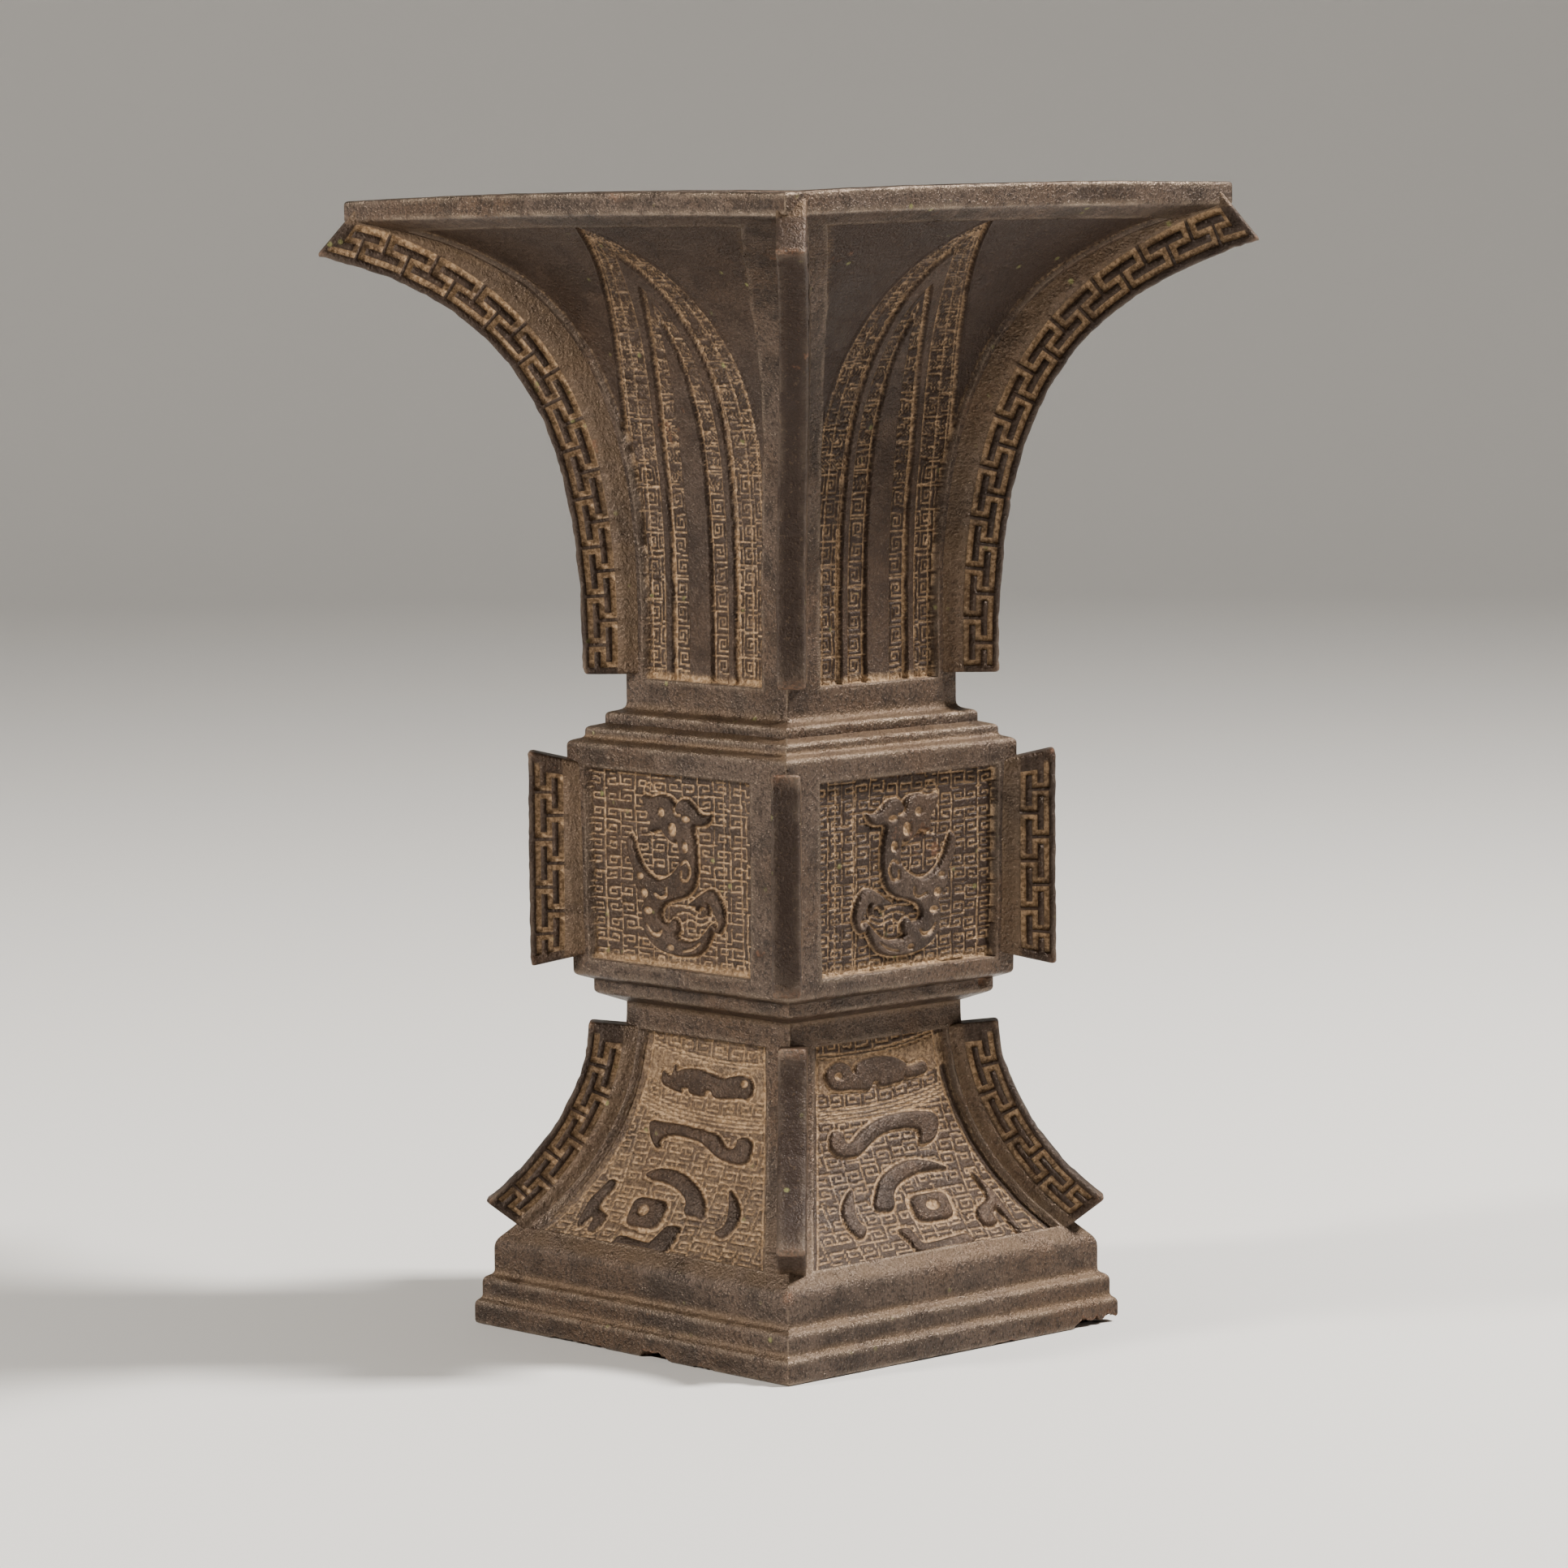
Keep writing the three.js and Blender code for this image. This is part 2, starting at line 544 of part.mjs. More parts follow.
// What is taken off one face, with heights up the face and depths out from the axis:
// the neck field with its leaf, the block panel and the foot panel
function faceCuts(levels) {
  const column = (outline) => plate(outline, CUT_START, CUT_END);
  const join = (outlines) => wasm.Manifold.union(outlines.map(column));

  const sill = NECK_BOTTOM + NECK_FIELD_SILL;
  const field = column(fieldOutline(
    sill, NECK_TOP - NECK_FIELD_HEAD, NECK_FIELD_FAR_MARGIN, NECK_FIELD_NEAR_MARGIN));
  const arch = (half, shoulderDrop, tipDrop) => column(archOutline(
    LEAF_AXIS, half, sill - 1, NECK_TOP - shoulderDrop, NECK_TOP - tipDrop));
  const leaf = arch(LEAF_HALF_WIDTH, LEAF_SHOULDER_DROP, LEAF_TIP_DROP)
    .subtract(arch(BAND_OUTER_HALF, BAND_SHOULDER_DROP, BAND_OUTER_TIP_DROP))
    .add(arch(BAND_INNER_HALF, BAND_SHOULDER_DROP, BAND_INNER_TIP_DROP))
    .subtract(arch(SPINE_HALF, SPINE_SHOULDER_DROP, SPINE_TIP_DROP));
  const neckCut = field.subtract(levels.field).add(field.intersect(leaf).subtract(levels.ground));

  const blockSill = BLOCK_BOTTOM + BLOCK_PANEL_SILL;
  const blockPanel = column(fieldOutline(
    blockSill, BLOCK_TOP - BLOCK_PANEL_HEAD, BLOCK_PANEL_FAR_MARGIN, BLOCK_PANEL_NEAR_MARGIN));
  const pit = column(ellipseOutline(
    CREATURE_EYE.u, CREATURE_EYE.v + blockSill, CREATURE_EYE.pit, CREATURE_EYE.pit, PIT_SIDES));
  const creature = join(strokesAbove(CREATURE_STROKES, blockSill)).subtract(pit);
  const blockCut = blockPanel.subtract(creature.intersect(levels.figure)).subtract(levels.panel);

  const footSill = FOOT_BOTTOM + FOOT_PANEL_SILL;
  const footPanel = column(fieldOutline(
    footSill, FOOT_TOP - FOOT_PANEL_HEAD, FOOT_PANEL_FAR_MARGIN, FOOT_PANEL_NEAR_MARGIN));
  const eyeHeight = EYE.v + footSill;
  const eye = column(ellipseOutline(
    EYE.u, eyeHeight, EYE.halfWidth, EYE.halfHeight, EYE_SIDES, EYE.squareness,
  )).subtract(column(ellipseOutline(EYE.u, eyeHeight, EYE.pitWidth, EYE.pitHeight, PIT_SIDES)));
  const mask = join(strokesAbove(FOOT_STROKES, footSill)).add(eye);
  const footCut = footPanel.subtract(mask.intersect(levels.figure)).subtract(levels.panel);

  return neckCut.add(blockCut).add(footCut);
}

function buildVase() {
  const cuts = faceCuts({
    field: drawnIn(NECK_FIELD_DEPTH),
    ground: drawnIn(NECK_GROUND_DEPTH),
    figure: drawnIn(PANEL_DEPTH - FIGURE_RELIEF),
    panel: drawnIn(PANEL_DEPTH),
  });
  const carved = squareSolid(outerProfile).subtract(
    wasm.Manifold.union(FACES.map((face) => stoodUp(cuts, face.along, face.out))));
  const flangeSet = [neckFlange(), blockFlange(), footFlange()].map(flangeSolid);
  const flanges = [];
  for (let corner = 0; corner < 4; corner += 1) {
    const turn = (Math.PI / 4) * (2 * corner + 1);
    const along = [Math.cos(turn), Math.sin(turn), 0];
    const out = [Math.sin(turn), -Math.cos(turn), 0];
    flanges.push(...flangeSet.map((flange) => stoodUp(flange, along, out)));
  }
  return carved
    .add(wasm.Manifold.union(flanges))
    .subtract(vesselHollow())
    .subtract(footHollow());
}

const bronze = new THREE.MeshStandardMaterial({ color: 0x5f544b, roughness: 0.5, metalness: 0.7 });
const vase = new THREE.Mesh(geometryOf(buildVase()), bronze);
vase.name = "gu_vase";

const part = new THREE.Group();
part.add(vase);
export default part;
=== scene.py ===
import math

import bpy
import numpy as np
from mathutils import Matrix, Vector


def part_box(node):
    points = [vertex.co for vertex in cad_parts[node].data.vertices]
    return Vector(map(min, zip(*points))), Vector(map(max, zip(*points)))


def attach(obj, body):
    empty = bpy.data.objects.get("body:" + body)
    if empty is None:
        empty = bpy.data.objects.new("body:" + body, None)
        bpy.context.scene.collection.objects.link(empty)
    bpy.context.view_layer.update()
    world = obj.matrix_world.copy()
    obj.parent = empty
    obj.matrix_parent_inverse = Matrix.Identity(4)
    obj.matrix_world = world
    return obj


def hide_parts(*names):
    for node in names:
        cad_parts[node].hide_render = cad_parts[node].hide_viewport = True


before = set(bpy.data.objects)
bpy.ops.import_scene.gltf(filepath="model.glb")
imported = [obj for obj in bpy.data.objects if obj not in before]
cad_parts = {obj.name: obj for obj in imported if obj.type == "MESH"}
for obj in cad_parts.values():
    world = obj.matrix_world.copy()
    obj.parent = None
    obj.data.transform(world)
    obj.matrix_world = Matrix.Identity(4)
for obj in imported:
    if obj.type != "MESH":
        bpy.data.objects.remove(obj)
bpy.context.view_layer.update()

VASE_HEIGHT = 260.0
vase_low, vase_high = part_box("gu_vase")
MM = (vase_high[2] - vase_low[2]) / VASE_HEIGHT

# Half sizes of the square stages
RING_HALF = 52.7
LOWER_STEP_HALF = 51.4
UPPER_STEP_HALF = 49.4
FOOT_HALF = 46.4
FOOT_NECK_HALF = 27.3
UNDER_STEP_HALF = 32.6
BLOCK_BOTTOM_HALF = 35.9
BLOCK_TOP_HALF = 36.6
OUTER_LEDGE_HALF = 33.6
INNER_LEDGE_HALF = 30.3
NECK_HALF = 26.8
MOUTH_HALF = 71.4

# Heights of the stages
RING_TOP = 5.2
LOWER_STEP_TOP = 10.8
UPPER_STEP_TOP = 19.2
FOOT_BOTTOM = 22.4
FOOT_TOP = 75.0
UNDER_STEP_BOTTOM = 77.2
UNDER_STEP_TOP = 80.2
BLOCK_BOTTOM = 81.4
BLOCK_TOP = 135.2
OUTER_LEDGE_BOTTOM = 136.1
OUTER_LEDGE_TOP = 138.4
INNER_LEDGE_BOTTOM = 139.3
INNER_LEDGE_TOP = 141.7
NECK_BOTTOM = 142.6
NECK_TOP = 254.6
RIM_TOP = VASE_HEIGHT
STEP_SLOPE = 0.9

# Walls of the casting
NECK_WALL = 4.0
BELLY_WALL = 5.6
FOOT_WALL = 4.2
RING_WALL = 5.4
BELLY_FLOOR = 83.9
FOOT_ROOF = 78.9

# Sunk fields and their margins from the corners
NECK_FIELD_DEPTH = 1.2
NECK_GROUND_DEPTH = 1.75
PANEL_DEPTH = 1.85
FIGURE_DEPTH = 0.85
MASK_DEPTH = 1.2
FIGURE_FILM = 0.14
MASK_FILM = 0.36
PLAIN_BAND_FILM = 0.5
GROOVE_DEPTH = 0.5
WALL_RUN = 0.3
NECK_FAR_MARGIN, NECK_NEAR_MARGIN = 6.4, 8.4
NECK_SILL, NECK_HEAD = 149.6, 252.4
BLOCK_FAR_MARGIN, BLOCK_NEAR_MARGIN = 6.3, 11.4
BLOCK_SILL, BLOCK_HEAD = 85.4, 129.6
FOOT_FAR_MARGIN, FOOT_NEAR_MARGIN = 5.6, 8.0
FOOT_SILL, FOOT_HEAD = 23.0, 69.0

# Leaf of the neck: axis, half widths at the shoulders, shoulder heights and tips
LEAF_AXIS = -2.5
LEAF = (21.5, 202.6, 251.8)
BAND_OUTER = (11.4, 197.6, 245.2)
BAND_INNER = (9.4, 197.6, 238.6)
SPINE = (3.6, 192.0, 231.0)
LEAF_CELL_HEIGHT = 5.1
# Cells of the spiral ground, coarser on the hidden sides
CELL_HEIGHT = {"front": 3.6, "right": 3.6, "back": 4.8, "left": 4.8}
BLOCK_CELL_WIDTH = {"front": 5.2, "right": 4.3, "back": 6.2, "left": 6.2}
FOOT_CELL_WIDTH = {"front": 5.1, "right": 5.0, "back": 6.2, "left": 6.2}
SPIRAL_LINE = {"front": 0.44, "right": 0.44, "back": 0.8, "left": 0.8}
# Painted shade on the metal between the incised lines, and on the plain neck field round the leaf; deepest on the right
# face
GROUND_SHADE = {"front": 0.4, "right": 0.95, "back": 0.4, "left": 0.5}
FIELD_SHADE = {"front": 0.55, "right": 0.9, "back": 0.45, "left": 0.5}
# How much of the tan film covers the ground of the panels
FILM_SHARE = {"front": 1.0, "right": 0.5, "back": 1.0, "left": 0.8}

# Flanges
FLANGE_HALF = 3.2
FLANGE_ROOT_SINK = 4.8
FRET_PITCH = 11.0
FRET_HOOK_SHORT = 3.5
FRET_HOOK_LONG = 9.0
FRET_MARGIN = 2.1
FRET_WIDTH = 5.3
FRET_LINE = 1.25
FRET_DEPTH = 0.85
FRET_WALL = 0.2


def smooth(low, high, value):
    share = np.clip((value - low) / (high - low), 0.0, 1.0)
    return share * share * (3.0 - 2.0 * share)


def lattice(ix, iy, seed):
    """Repeatable value from 0 to 1 for each whole-number place."""
    value = np.sin(ix * 127.1 + iy * 311.7 + seed * 74.7) * 43758.5453
    return value - np.floor(value)


def noise(x, y, seed):
    """Smooth noise from -1 to 1, with one swing for each unit."""
    ix, iy = np.floor(x), np.floor(y)
    fx, fy = smooth(0, 1, x - ix), smooth(0, 1, y - iy)
    low = lattice(ix, iy, seed) * (1 - fx) + lattice(ix + 1, iy, seed) * fx
    high = lattice(ix, iy + 1, seed) * (1 - fx) + lattice(ix + 1, iy + 1, seed) * fx
    return 2.0 * (low * (1 - fy) + high * fy) - 1.0


def bezier(a, b, c, d, steps):
    t = np.linspace(0.0, 1.0, steps + 1)[:, None]
    a, b, c, d = (np.array(p, float) for p in (a, b, c, d))
    return (1 - t) ** 3 * a + 3 * (1 - t) ** 2 * t * b + 3 * (1 - t) * t ** 2 * c + t ** 3 * d


def smooth_line(points, steps):
    """Smooth line through points, which may carry a width as a third value."""
    points = np.array(points, float)
    padded = np.vstack([2 * points[0] - points[1], points, 2 * points[-1] - points[-2]])
    t = np.linspace(0.0, 1.0, steps, endpoint=False)[:, None]
    parts = []
    for a, b, c, d in zip(padded[:-3], padded[1:-2], padded[2:-1], padded[3:]):
        parts.append(0.5 * (2 * b + (c - a) * t + (2 * a - 5 * b + 4 * c - d) * t ** 2
                            + (3 * b - a - 3 * c + d) * t ** 3))
    return np.vstack(parts + [points[-1:]])


# Profile of the outside, as rows from the ground up
FOOT_CURVE = bezier((FOOT_HALF, FOOT_BOTTOM), (32.9, 37.4), (FOOT_NECK_HALF, 54.4), (FOOT_NECK_HALF, FOOT_TOP), 40)
NECK_CURVE = bezier((NECK_HALF, 162.6), (NECK_HALF, 225.7), (41.2, 245.5), (MOUTH_HALF - 1.0, NECK_TOP), 60)


def filleted(corners, steps=4):
    """Open line through (half, height, fillet) corners, each fillet cut off along both sides."""
    line = []
    for i, (x, z, fillet) in enumerate(corners):
        here = np.array([x, z])
        if fillet == 0 or i in (0, len(corners) - 1):
            line.append(here)
            continue
        before = np.array(corners[i - 1][:2]) - here
        after = np.array(corners[i + 1][:2]) - here
        start = here + before * min(fillet / np.linalg.norm(before), 0.48)
        end = here + after * min(fillet / np.linalg.norm(after), 0.48)
        for t in np.linspace(0.0, 1.0, steps + 1):
            line.append((1 - t) ** 2 * start + 2 * (1 - t) * t * here + t ** 2 * end)
    return np.array(line)


def curve_corners(curve):
    return [(x, z, 0) for x, z in curve]


def foot_profile():
    return filleted([
        (RING_HALF - 2.2, 0.0, 0),
        (RING_HALF, 0.0, 0.9),
        (RING_HALF, RING_TOP, 1.0),
        (LOWER_STEP_HALF, RING_TOP + STEP_SLOPE, 0.8),
        (LOWER_STEP_HALF, LOWER_STEP_TOP, 1.2),
        (UPPER_STEP_HALF, LOWER_STEP_TOP + STEP_SLOPE, 0.9),
        (UPPER_STEP_HALF, UPPER_STEP_TOP, 1.6),
        (FOOT_HALF, FOOT_BOTTOM, 1.2),
    ] + curve_corners(FOOT_CURVE[3:]) + [
        (UNDER_STEP_HALF, UNDER_STEP_BOTTOM, 0.9),
        (UNDER_STEP_HALF, UNDER_STEP_TOP, 0.6),
    ])


def block_profile():
    return filleted([
        (UNDER_STEP_HALF, UNDER_STEP_TOP, 0),
        (BLOCK_BOTTOM_HALF, BLOCK_BOTTOM, 0.9),
        (BLOCK_TOP_HALF, BLOCK_TOP, 1.1),
        (OUTER_LEDGE_HALF, OUTER_LEDGE_BOTTOM, 0.8),
        (OUTER_LEDGE_HALF, OUTER_LEDGE_TOP, 0.9),
        (INNER_LEDGE_HALF, INNER_LEDGE_BOTTOM, 0.8),
    ])


def neck_profile():
    return filleted([
        (INNER_LEDGE_HALF, INNER_LEDGE_BOTTOM, 0),
        (INNER_LEDGE_HALF, INNER_LEDGE_TOP, 0.9),
        (NECK_HALF, NECK_BOTTOM, 1.4),
    ] + curve_corners(NECK_CURVE) + [
        (MOUTH_HALF, NECK_TOP + 0.5, 0.6),
        (MOUTH_HALF, RIM_TOP, 0.9),
        (MOUTH_HALF - 1.9, RIM_TOP, 0),
    ])


OUTLINE = np.vstack([foot_profile(), block_profile()[1:], neck_profile()[1:]])


def half_at(height):
    return np.interp(height, OUTLINE[:, 1], OUTLINE[:, 0])


def rows_along(profile, spacing_at, marks=()):
    """Rows of a profile: its own points, the marked heights, and steps of the spacing between them."""
    points = [profile[0]]
    for a, b in zip(profile[:-1], profile[1:]):
        cuts = sorted(m for m in marks if min(a[1], b[1]) + 1e-6 < m < max(a[1], b[1]) - 1e-6)
        stops = [a] + [a + (b - a) * (m - a[1]) / (b[1] - a[1]) for m in cuts] + [b]
        for low, high in zip(stops[:-1], stops[1:]):
            length = np.linalg.norm(high - low)
            count = max(int(round(length / spacing_at((low[1] + high[1]) / 2))), 1)
            points += [low + (high - low) * (i + 1) / count for i in range(count)]
    points = np.array(points)
    keep = np.r_[True, np.linalg.norm(np.diff(points, axis=0), axis=1) > 0.02]
    points = points[keep]
    along = np.gradient(points, axis=0)
    along /= np.linalg.norm(along, axis=1)[:, None]
    run = np.r_[0.0, np.cumsum(np.linalg.norm(np.diff(points, axis=0), axis=1))]
    return {"half": points[:, 0], "z": points[:, 1], "out": along[:, 1], "up": -along[:, 0], "run": run}


def spread(knots, counts):
    """Columns between knot lines, each a value for every row."""
    parts = []
    for low, high, count in zip(knots[:-1], knots[1:], counts):
        share = np.arange(count) / count
        parts.append(low[:, None] + (high - low)[:, None] * share[None, :])
    return np.concatenate(parts + [knots[-1][:, None]], axis=1)


# Turn from each face's u, out and height to the vase: front, right, back and left
FACES = {
    "front": ((1, 0), (0, -1)),
    "right": ((0, -1), (1, 0)),
    "back": ((-1, 0), (0, 1)),
    "left": ((0, 1), (-1, 0)),
}
CORNER_ANGLES = np.radians([45.0, 30.0, 15.0])
RIM_TILT = 1.5
RIM_BOW = 0.9
RIM_WARP_START = 200.0
CORNER_LEAN = 2.0
CORNER_LEAN_START = 165.0


def warped(points):
    """Slight warp: the neck's near corner leans right, the rim's left corner is low, each side bows up."""
    x, y, z = points.T
    facing = np.maximum((x - y) / (np.hypot(x, y) * math.sqrt(2.0) + 1e-6), 0.0) ** 6
    lean = CORNER_LEAN * smooth(CORNER_LEAN_START, 250.0, z)
    x, y = (c + lean * facing / math.sqrt(2.0) for c in (x, y))
    rise = np.clip((z - RIM_WARP_START) / (RIM_TOP - RIM_WARP_START), 0.0, 1.0) ** 2
    tilt = (x + y) / (2 * MOUTH_HALF)
    larger = np.maximum(np.maximum(np.abs(x), np.abs(y)), 1.0)
    bow = 1.0 - (np.minimum(np.abs(x), np.abs(y)) / larger) ** 2
    outward = np.clip((larger - NECK_HALF) / (MOUTH_HALF - NECK_HALF), 0.0, 1.0)
    return np.column_stack([x, y, z + rise * outward * (RIM_TILT * tilt + RIM_BOW * bow)])


BITE_BARE = 0.35
# Bites out of ledges and rim: place, reach and depth
BITES = [
    ((UNDER_STEP_HALF + 0.4, 29.0, UNDER_STEP_TOP), 2.4, 1.0),
    ((UPPER_STEP_HALF, -UPPER_STEP_HALF, UPPER_STEP_TOP), 2.2, 0.5),
    ((-71.0, -30.0, RIM_TOP), 2.6, 0.5),
    ((20.0, -71.2, RIM_TOP), 2.2, 0.4),
]
# Nicks in the lower edge of the base: from place to place, and height
NICKS = [
    ((RING_HALF, 41.0), (RING_HALF, RING_HALF), 1.9),
    ((47.0, RING_HALF), (RING_HALF, RING_HALF), 1.7),
    ((7.0, -RING_HALF), (11.0, -RING_HALF), 1.5),
    ((-24.0, -RING_HALF), (-10.0, -RING_HALF), 0.6),
    ((24.0, -RING_HALF), (25.0, -RING_HALF), 0.5),
    ((RING_HALF, 14.0), (RING_HALF, 16.0), 0.5),
    ((-12.0, RING_HALF), (-5.0, RING_HALF), 0.8),
]


def chipped(points):
    """Points moved in towards the axis or up, and how freshly broken each one is."""
    moved = points.copy()
    bare = np.zeros(len(points))
    ragged = 1.0 + 0.3 * noise(points[:, 0] * 0.8 + points[:, 2], points[:, 1] * 0.8 - points[:, 2], 5)
    for place, reach, depth in BITES:
        place = np.array(place)
        near = 1.0 - smooth(0.35, 1.0, np.linalg.norm(points - place, axis=1) / (reach * ragged))
        inward = np.array([-place[0], -place[1], 0.0]) / np.hypot(place[0], place[1])
        moved += near[:, None] * depth * inward
        bare = np.maximum(bare, BITE_BARE * near)
    for start, end, height in NICKS:
        start, end = np.array(start), np.array(end)
        along = end - start
        share = np.clip(((points[:, :2] - start) @ along) / (along @ along), 0.0, 1.0)
        gap = np.linalg.norm(points[:, :2] - start - share[:, None] * along, axis=1)
        jagged = 1.0 + 0.45 * noise(points[:, 0] * 1.1, points[:, 1] * 1.1, 6)
        lift = height * jagged * (1.0 - smooth(1.6, 3.2, gap))
        moved[:, 2] = np.where(points[:, 2] < RING_TOP, np.maximum(moved[:, 2], lift), moved[:, 2])
        bare = np.maximum(bare, (lift > points[:, 2] - 0.3) * (lift > 0.3) * (points[:, 2] < 3.0) * 0.35)
    moved[:, 2] = np.maximum(moved[:, 2], 0.0)
    return moved, bare


def grid_quads(rows, columns, flipped):
    first = (np.arange(rows - 1)[:, None] * columns + np.arange(columns - 1)[None, :]).ravel()
    quads = np.column_stack([first, first + 1, first + columns + 1, first + columns])
    return quads[:, ::-1] if flipped else quads


def mesh_object(name, points, quads, marks):
    """Mesh of points in millimetres with its marks (name: value for each point)."""
    mesh = bpy.data.meshes.new(name)
    mesh.from_pydata((points * MM).tolist(), [], quads.tolist())
    for mark, values in marks.items():
        layer = mesh.attributes.new(mark, "FLOAT", "POINT")
        layer.data.foreach_set("value", values.astype(np.float32))
    mesh.shade_smooth()
    piece = bpy.data.objects.new(name, mesh)
    bpy.context.collection.objects.link(piece)
    return piece


# Patterns
def line_mark(distance, width):
    """1 in the middle of a line, 0 beyond its edges."""
    return 1.0 - smooth(width * 0.22, width * 0.62, np.abs(distance))


# Squared spiral in a unit cell; its first three sides are shared with the cells beside it
SPIRAL = [(0.0, 1.0), (0.0, 0.0), (1.0, 0.0), (1.0, 0.70), (0.27, 0.70), (0.27, 0.34), (0.70, 0.34), (0.70, 0.46)]
# Narrow spiral of the leaf, mostly upright lines
LEAF_SPIRAL = [
    (0.0, 1.0), (0.0, 0.06), (1.0, 0.06), (1.0, 0.82), (0.25, 0.82), (0.25, 0.30), (0.75, 0.30), (0.75, 0.62),
    (0.50, 0.62), (0.50, 0.46),
]


def spiral_ground(u, v, width, height, seed, line, spiral=SPIRAL):
    """Marks of the incised spirals in cells of a width and height, turned at random from cell to cell."""
    u = u + 0.16 * noise(u / 2.6, v / 2.6, seed + 2) + 0.35 * noise(u / 9.0, v / 9.0, seed + 4)
    v = v + 0.16 * noise(u / 2.6 + 40, v / 2.6, seed + 3) + 0.30 * noise(u / 9.0 + 40, v / 9.0, seed + 5)
    column, row = np.floor(u / width), np.floor(v / height)
    x, y = u / width - column, v / height - row
    x = np.where(lattice(column, row, seed) > 0.5, 1.0 - x, x)
    y = np.where(lattice(column, row, seed + 1) > 0.5, 1.0 - y, y)
    width = np.broadcast_to(width, u.shape)
    distance = np.full(u.shape, 9.0)
    for (ax, ay), (bx, by) in zip(spiral[:-1], spiral[1:]):
        dx = np.maximum(np.maximum(min(ax, bx) - x, x - max(ax, bx)), 0.0) * width
        dy = np.maximum(np.maximum(min(ay, by) - y, y - max(ay, by)), 0.0) * height
        distance = np.minimum(distance, np.maximum(dx, dy))
    return line_mark(distance, line)


def stroke_distance(u, v, stroke, steps=8):
    """Distance outside a stroke of [u, v, width] points, negative inside it."""
    line = smooth_line(stroke, steps)
    line[:, 2] = np.maximum(line[:, 2], 0.4)
    nearest = np.full(u.shape, 99.0)
    for (ax, ay, aw), (bx, by, bw) in zip(line[:-1], line[1:]):
        dx, dy = bx - ax, by - ay
        share = np.clip(((u - ax) * dx + (v - ay) * dy) / (dx * dx + dy * dy), 0.0, 1.0)
        gap = np.hypot(u - ax - share * dx, v - ay - share * dy) - (aw + (bw - aw) * share) / 2
        nearest = np.minimum(nearest, gap)
    return nearest


def figure_distance(u, v, strokes):
    return np.minimum.reduce([stroke_distance(u, v, stroke) for stroke in strokes])


def outline_distance(u, v, outline, steps=5):
    """Distance outside a closed smooth outline, negative inside it."""
    points = np.array(outline, float)
    line = smooth_line(np.vstack([points[-2:], points, points[:2]]), steps)[2 * steps:-steps]
    nearest = np.full(u.shape, 99.0)
    inside = np.zeros(u.shape, bool)
    for (ax, ay), (bx, by) in zip(line[:-1], line[1:]):
        dx, dy = bx - ax, by - ay
        share = np.clip(((u - ax) * dx + (v - ay) * dy) / (dx * dx + dy * dy + 1e-9), 0.0, 1.0)
        nearest = np.minimum(nearest, np.hypot(u - ax - share * dx, v - ay - share * dy))
        if ay != by:
            inside ^= ((v >= ay) != (v >= by)) & (u < ax + (v - ay) * dx / dy)
    return np.where(inside, -nearest, nearest)


def pit_distance(u, v, pits):
    """Distance outside oval pits of [u, v, half width, half height], negative inside them."""
    gaps = []
    for pu, pv, half_width, half_height in pits:
        radius = np.hypot((u - pu) / half_width, (v - pv) / half_height)
        gaps.append((radius - 1.0) * min(half_width, half_height))
    return np.minimum.reduce(gaps)


# Curled beast of the block, with heights above the panel's sill
CREATURE = [
    (-12.2, 38.9), (-9.3, 38.6), (-6.8, 39.3), (-3.8, 39.1), (-1.9, 38.0), (-1.3, 36.8), (-0.1, 38.5), (2.3, 38.8),
    (4.3, 37.8), (6.3, 36.2), (8.3, 35.6), (10.5, 36.0), (9.3, 34.0), (7.3, 33.1), (4.9, 33.0), (4.5, 31.6),
    (5.1, 29.4), (5.6, 26.4), (5.5, 22.6), (4.7, 19.6), (3.1, 17.8), (0.5, 16.4), (-2.7, 15.6), (-5.7, 14.2),
    (-6.9, 12.2), (-6.2, 10.6), (-4.2, 10.2), (-3.0, 11.4), (-1.4, 11.0), (-0.6, 9.0), (-1.8, 7.6), (1.0, 6.6),
    (4.6, 7.2), (7.6, 9.2), (10.0, 11.4), (9.8, 8.6), (7.2, 5.1), (3.7, 3.4), (-1.3, 3.0), (-6.8, 3.6), (-10.8, 5.6),
    (-12.8, 8.6), (-13.3, 12.6), (-12.6, 14.4), (-13.8, 15.6), (-15.3, 18.6), (-15.6, 21.1), (-17.3, 24.6),
    (-17.8, 28.1), (-16.6, 29.8), (-15.6, 28.6), (-14.5, 25.4), (-12.5, 22.4), (-9.8, 20.6), (-6.8, 20.0),
    (-3.3, 21.5), (-0.9, 24.0), (-0.6, 26.6), (-1.1, 29.2), (-2.5, 28.5), (-4.8, 29.8), (-6.3, 31.2), (-8.3, 31.0),
    (-9.9, 30.6), (-9.9, 33.9), (-11.6, 36.1),
]
TAIL = [
    [[2.4, 15.0, 0.8], [4.6, 15.6, 1.8], [7, 16.6, 2.6], [10.2, 17.2, 3.6], [12.2, 14.4, 3.2], [12.8, 11.8, 2.4],
     [11.6, 9.9, 1.6], [10.2, 11.0, 0.8]],
    [[5.0, 14.0, 0.8], [6.2, 15.4, 1.2], [8.4, 15.0, 1.2], [8.6, 13.2, 0.8]],
]
CREATURE_PITS = [
    (-5.6, 35.4, 1.0, 1.0), (-2.0, 31.7, 1.2, 1.5), (2.4, 34.4, 1.3, 0.7), (2.0, 28.0, 1.0, 1.2),
    (-13.2, 20.4, 1.0, 0.7), (-11.8, 16.6, 1.2, 1.0), (-10.6, 12.7, 1.3, 0.8), (-3.3, 4.8, 1.0, 0.7),
    (11.6, 11.4, 0.9, 0.9), (7.0, 14.2, 0.8, 0.8),
]
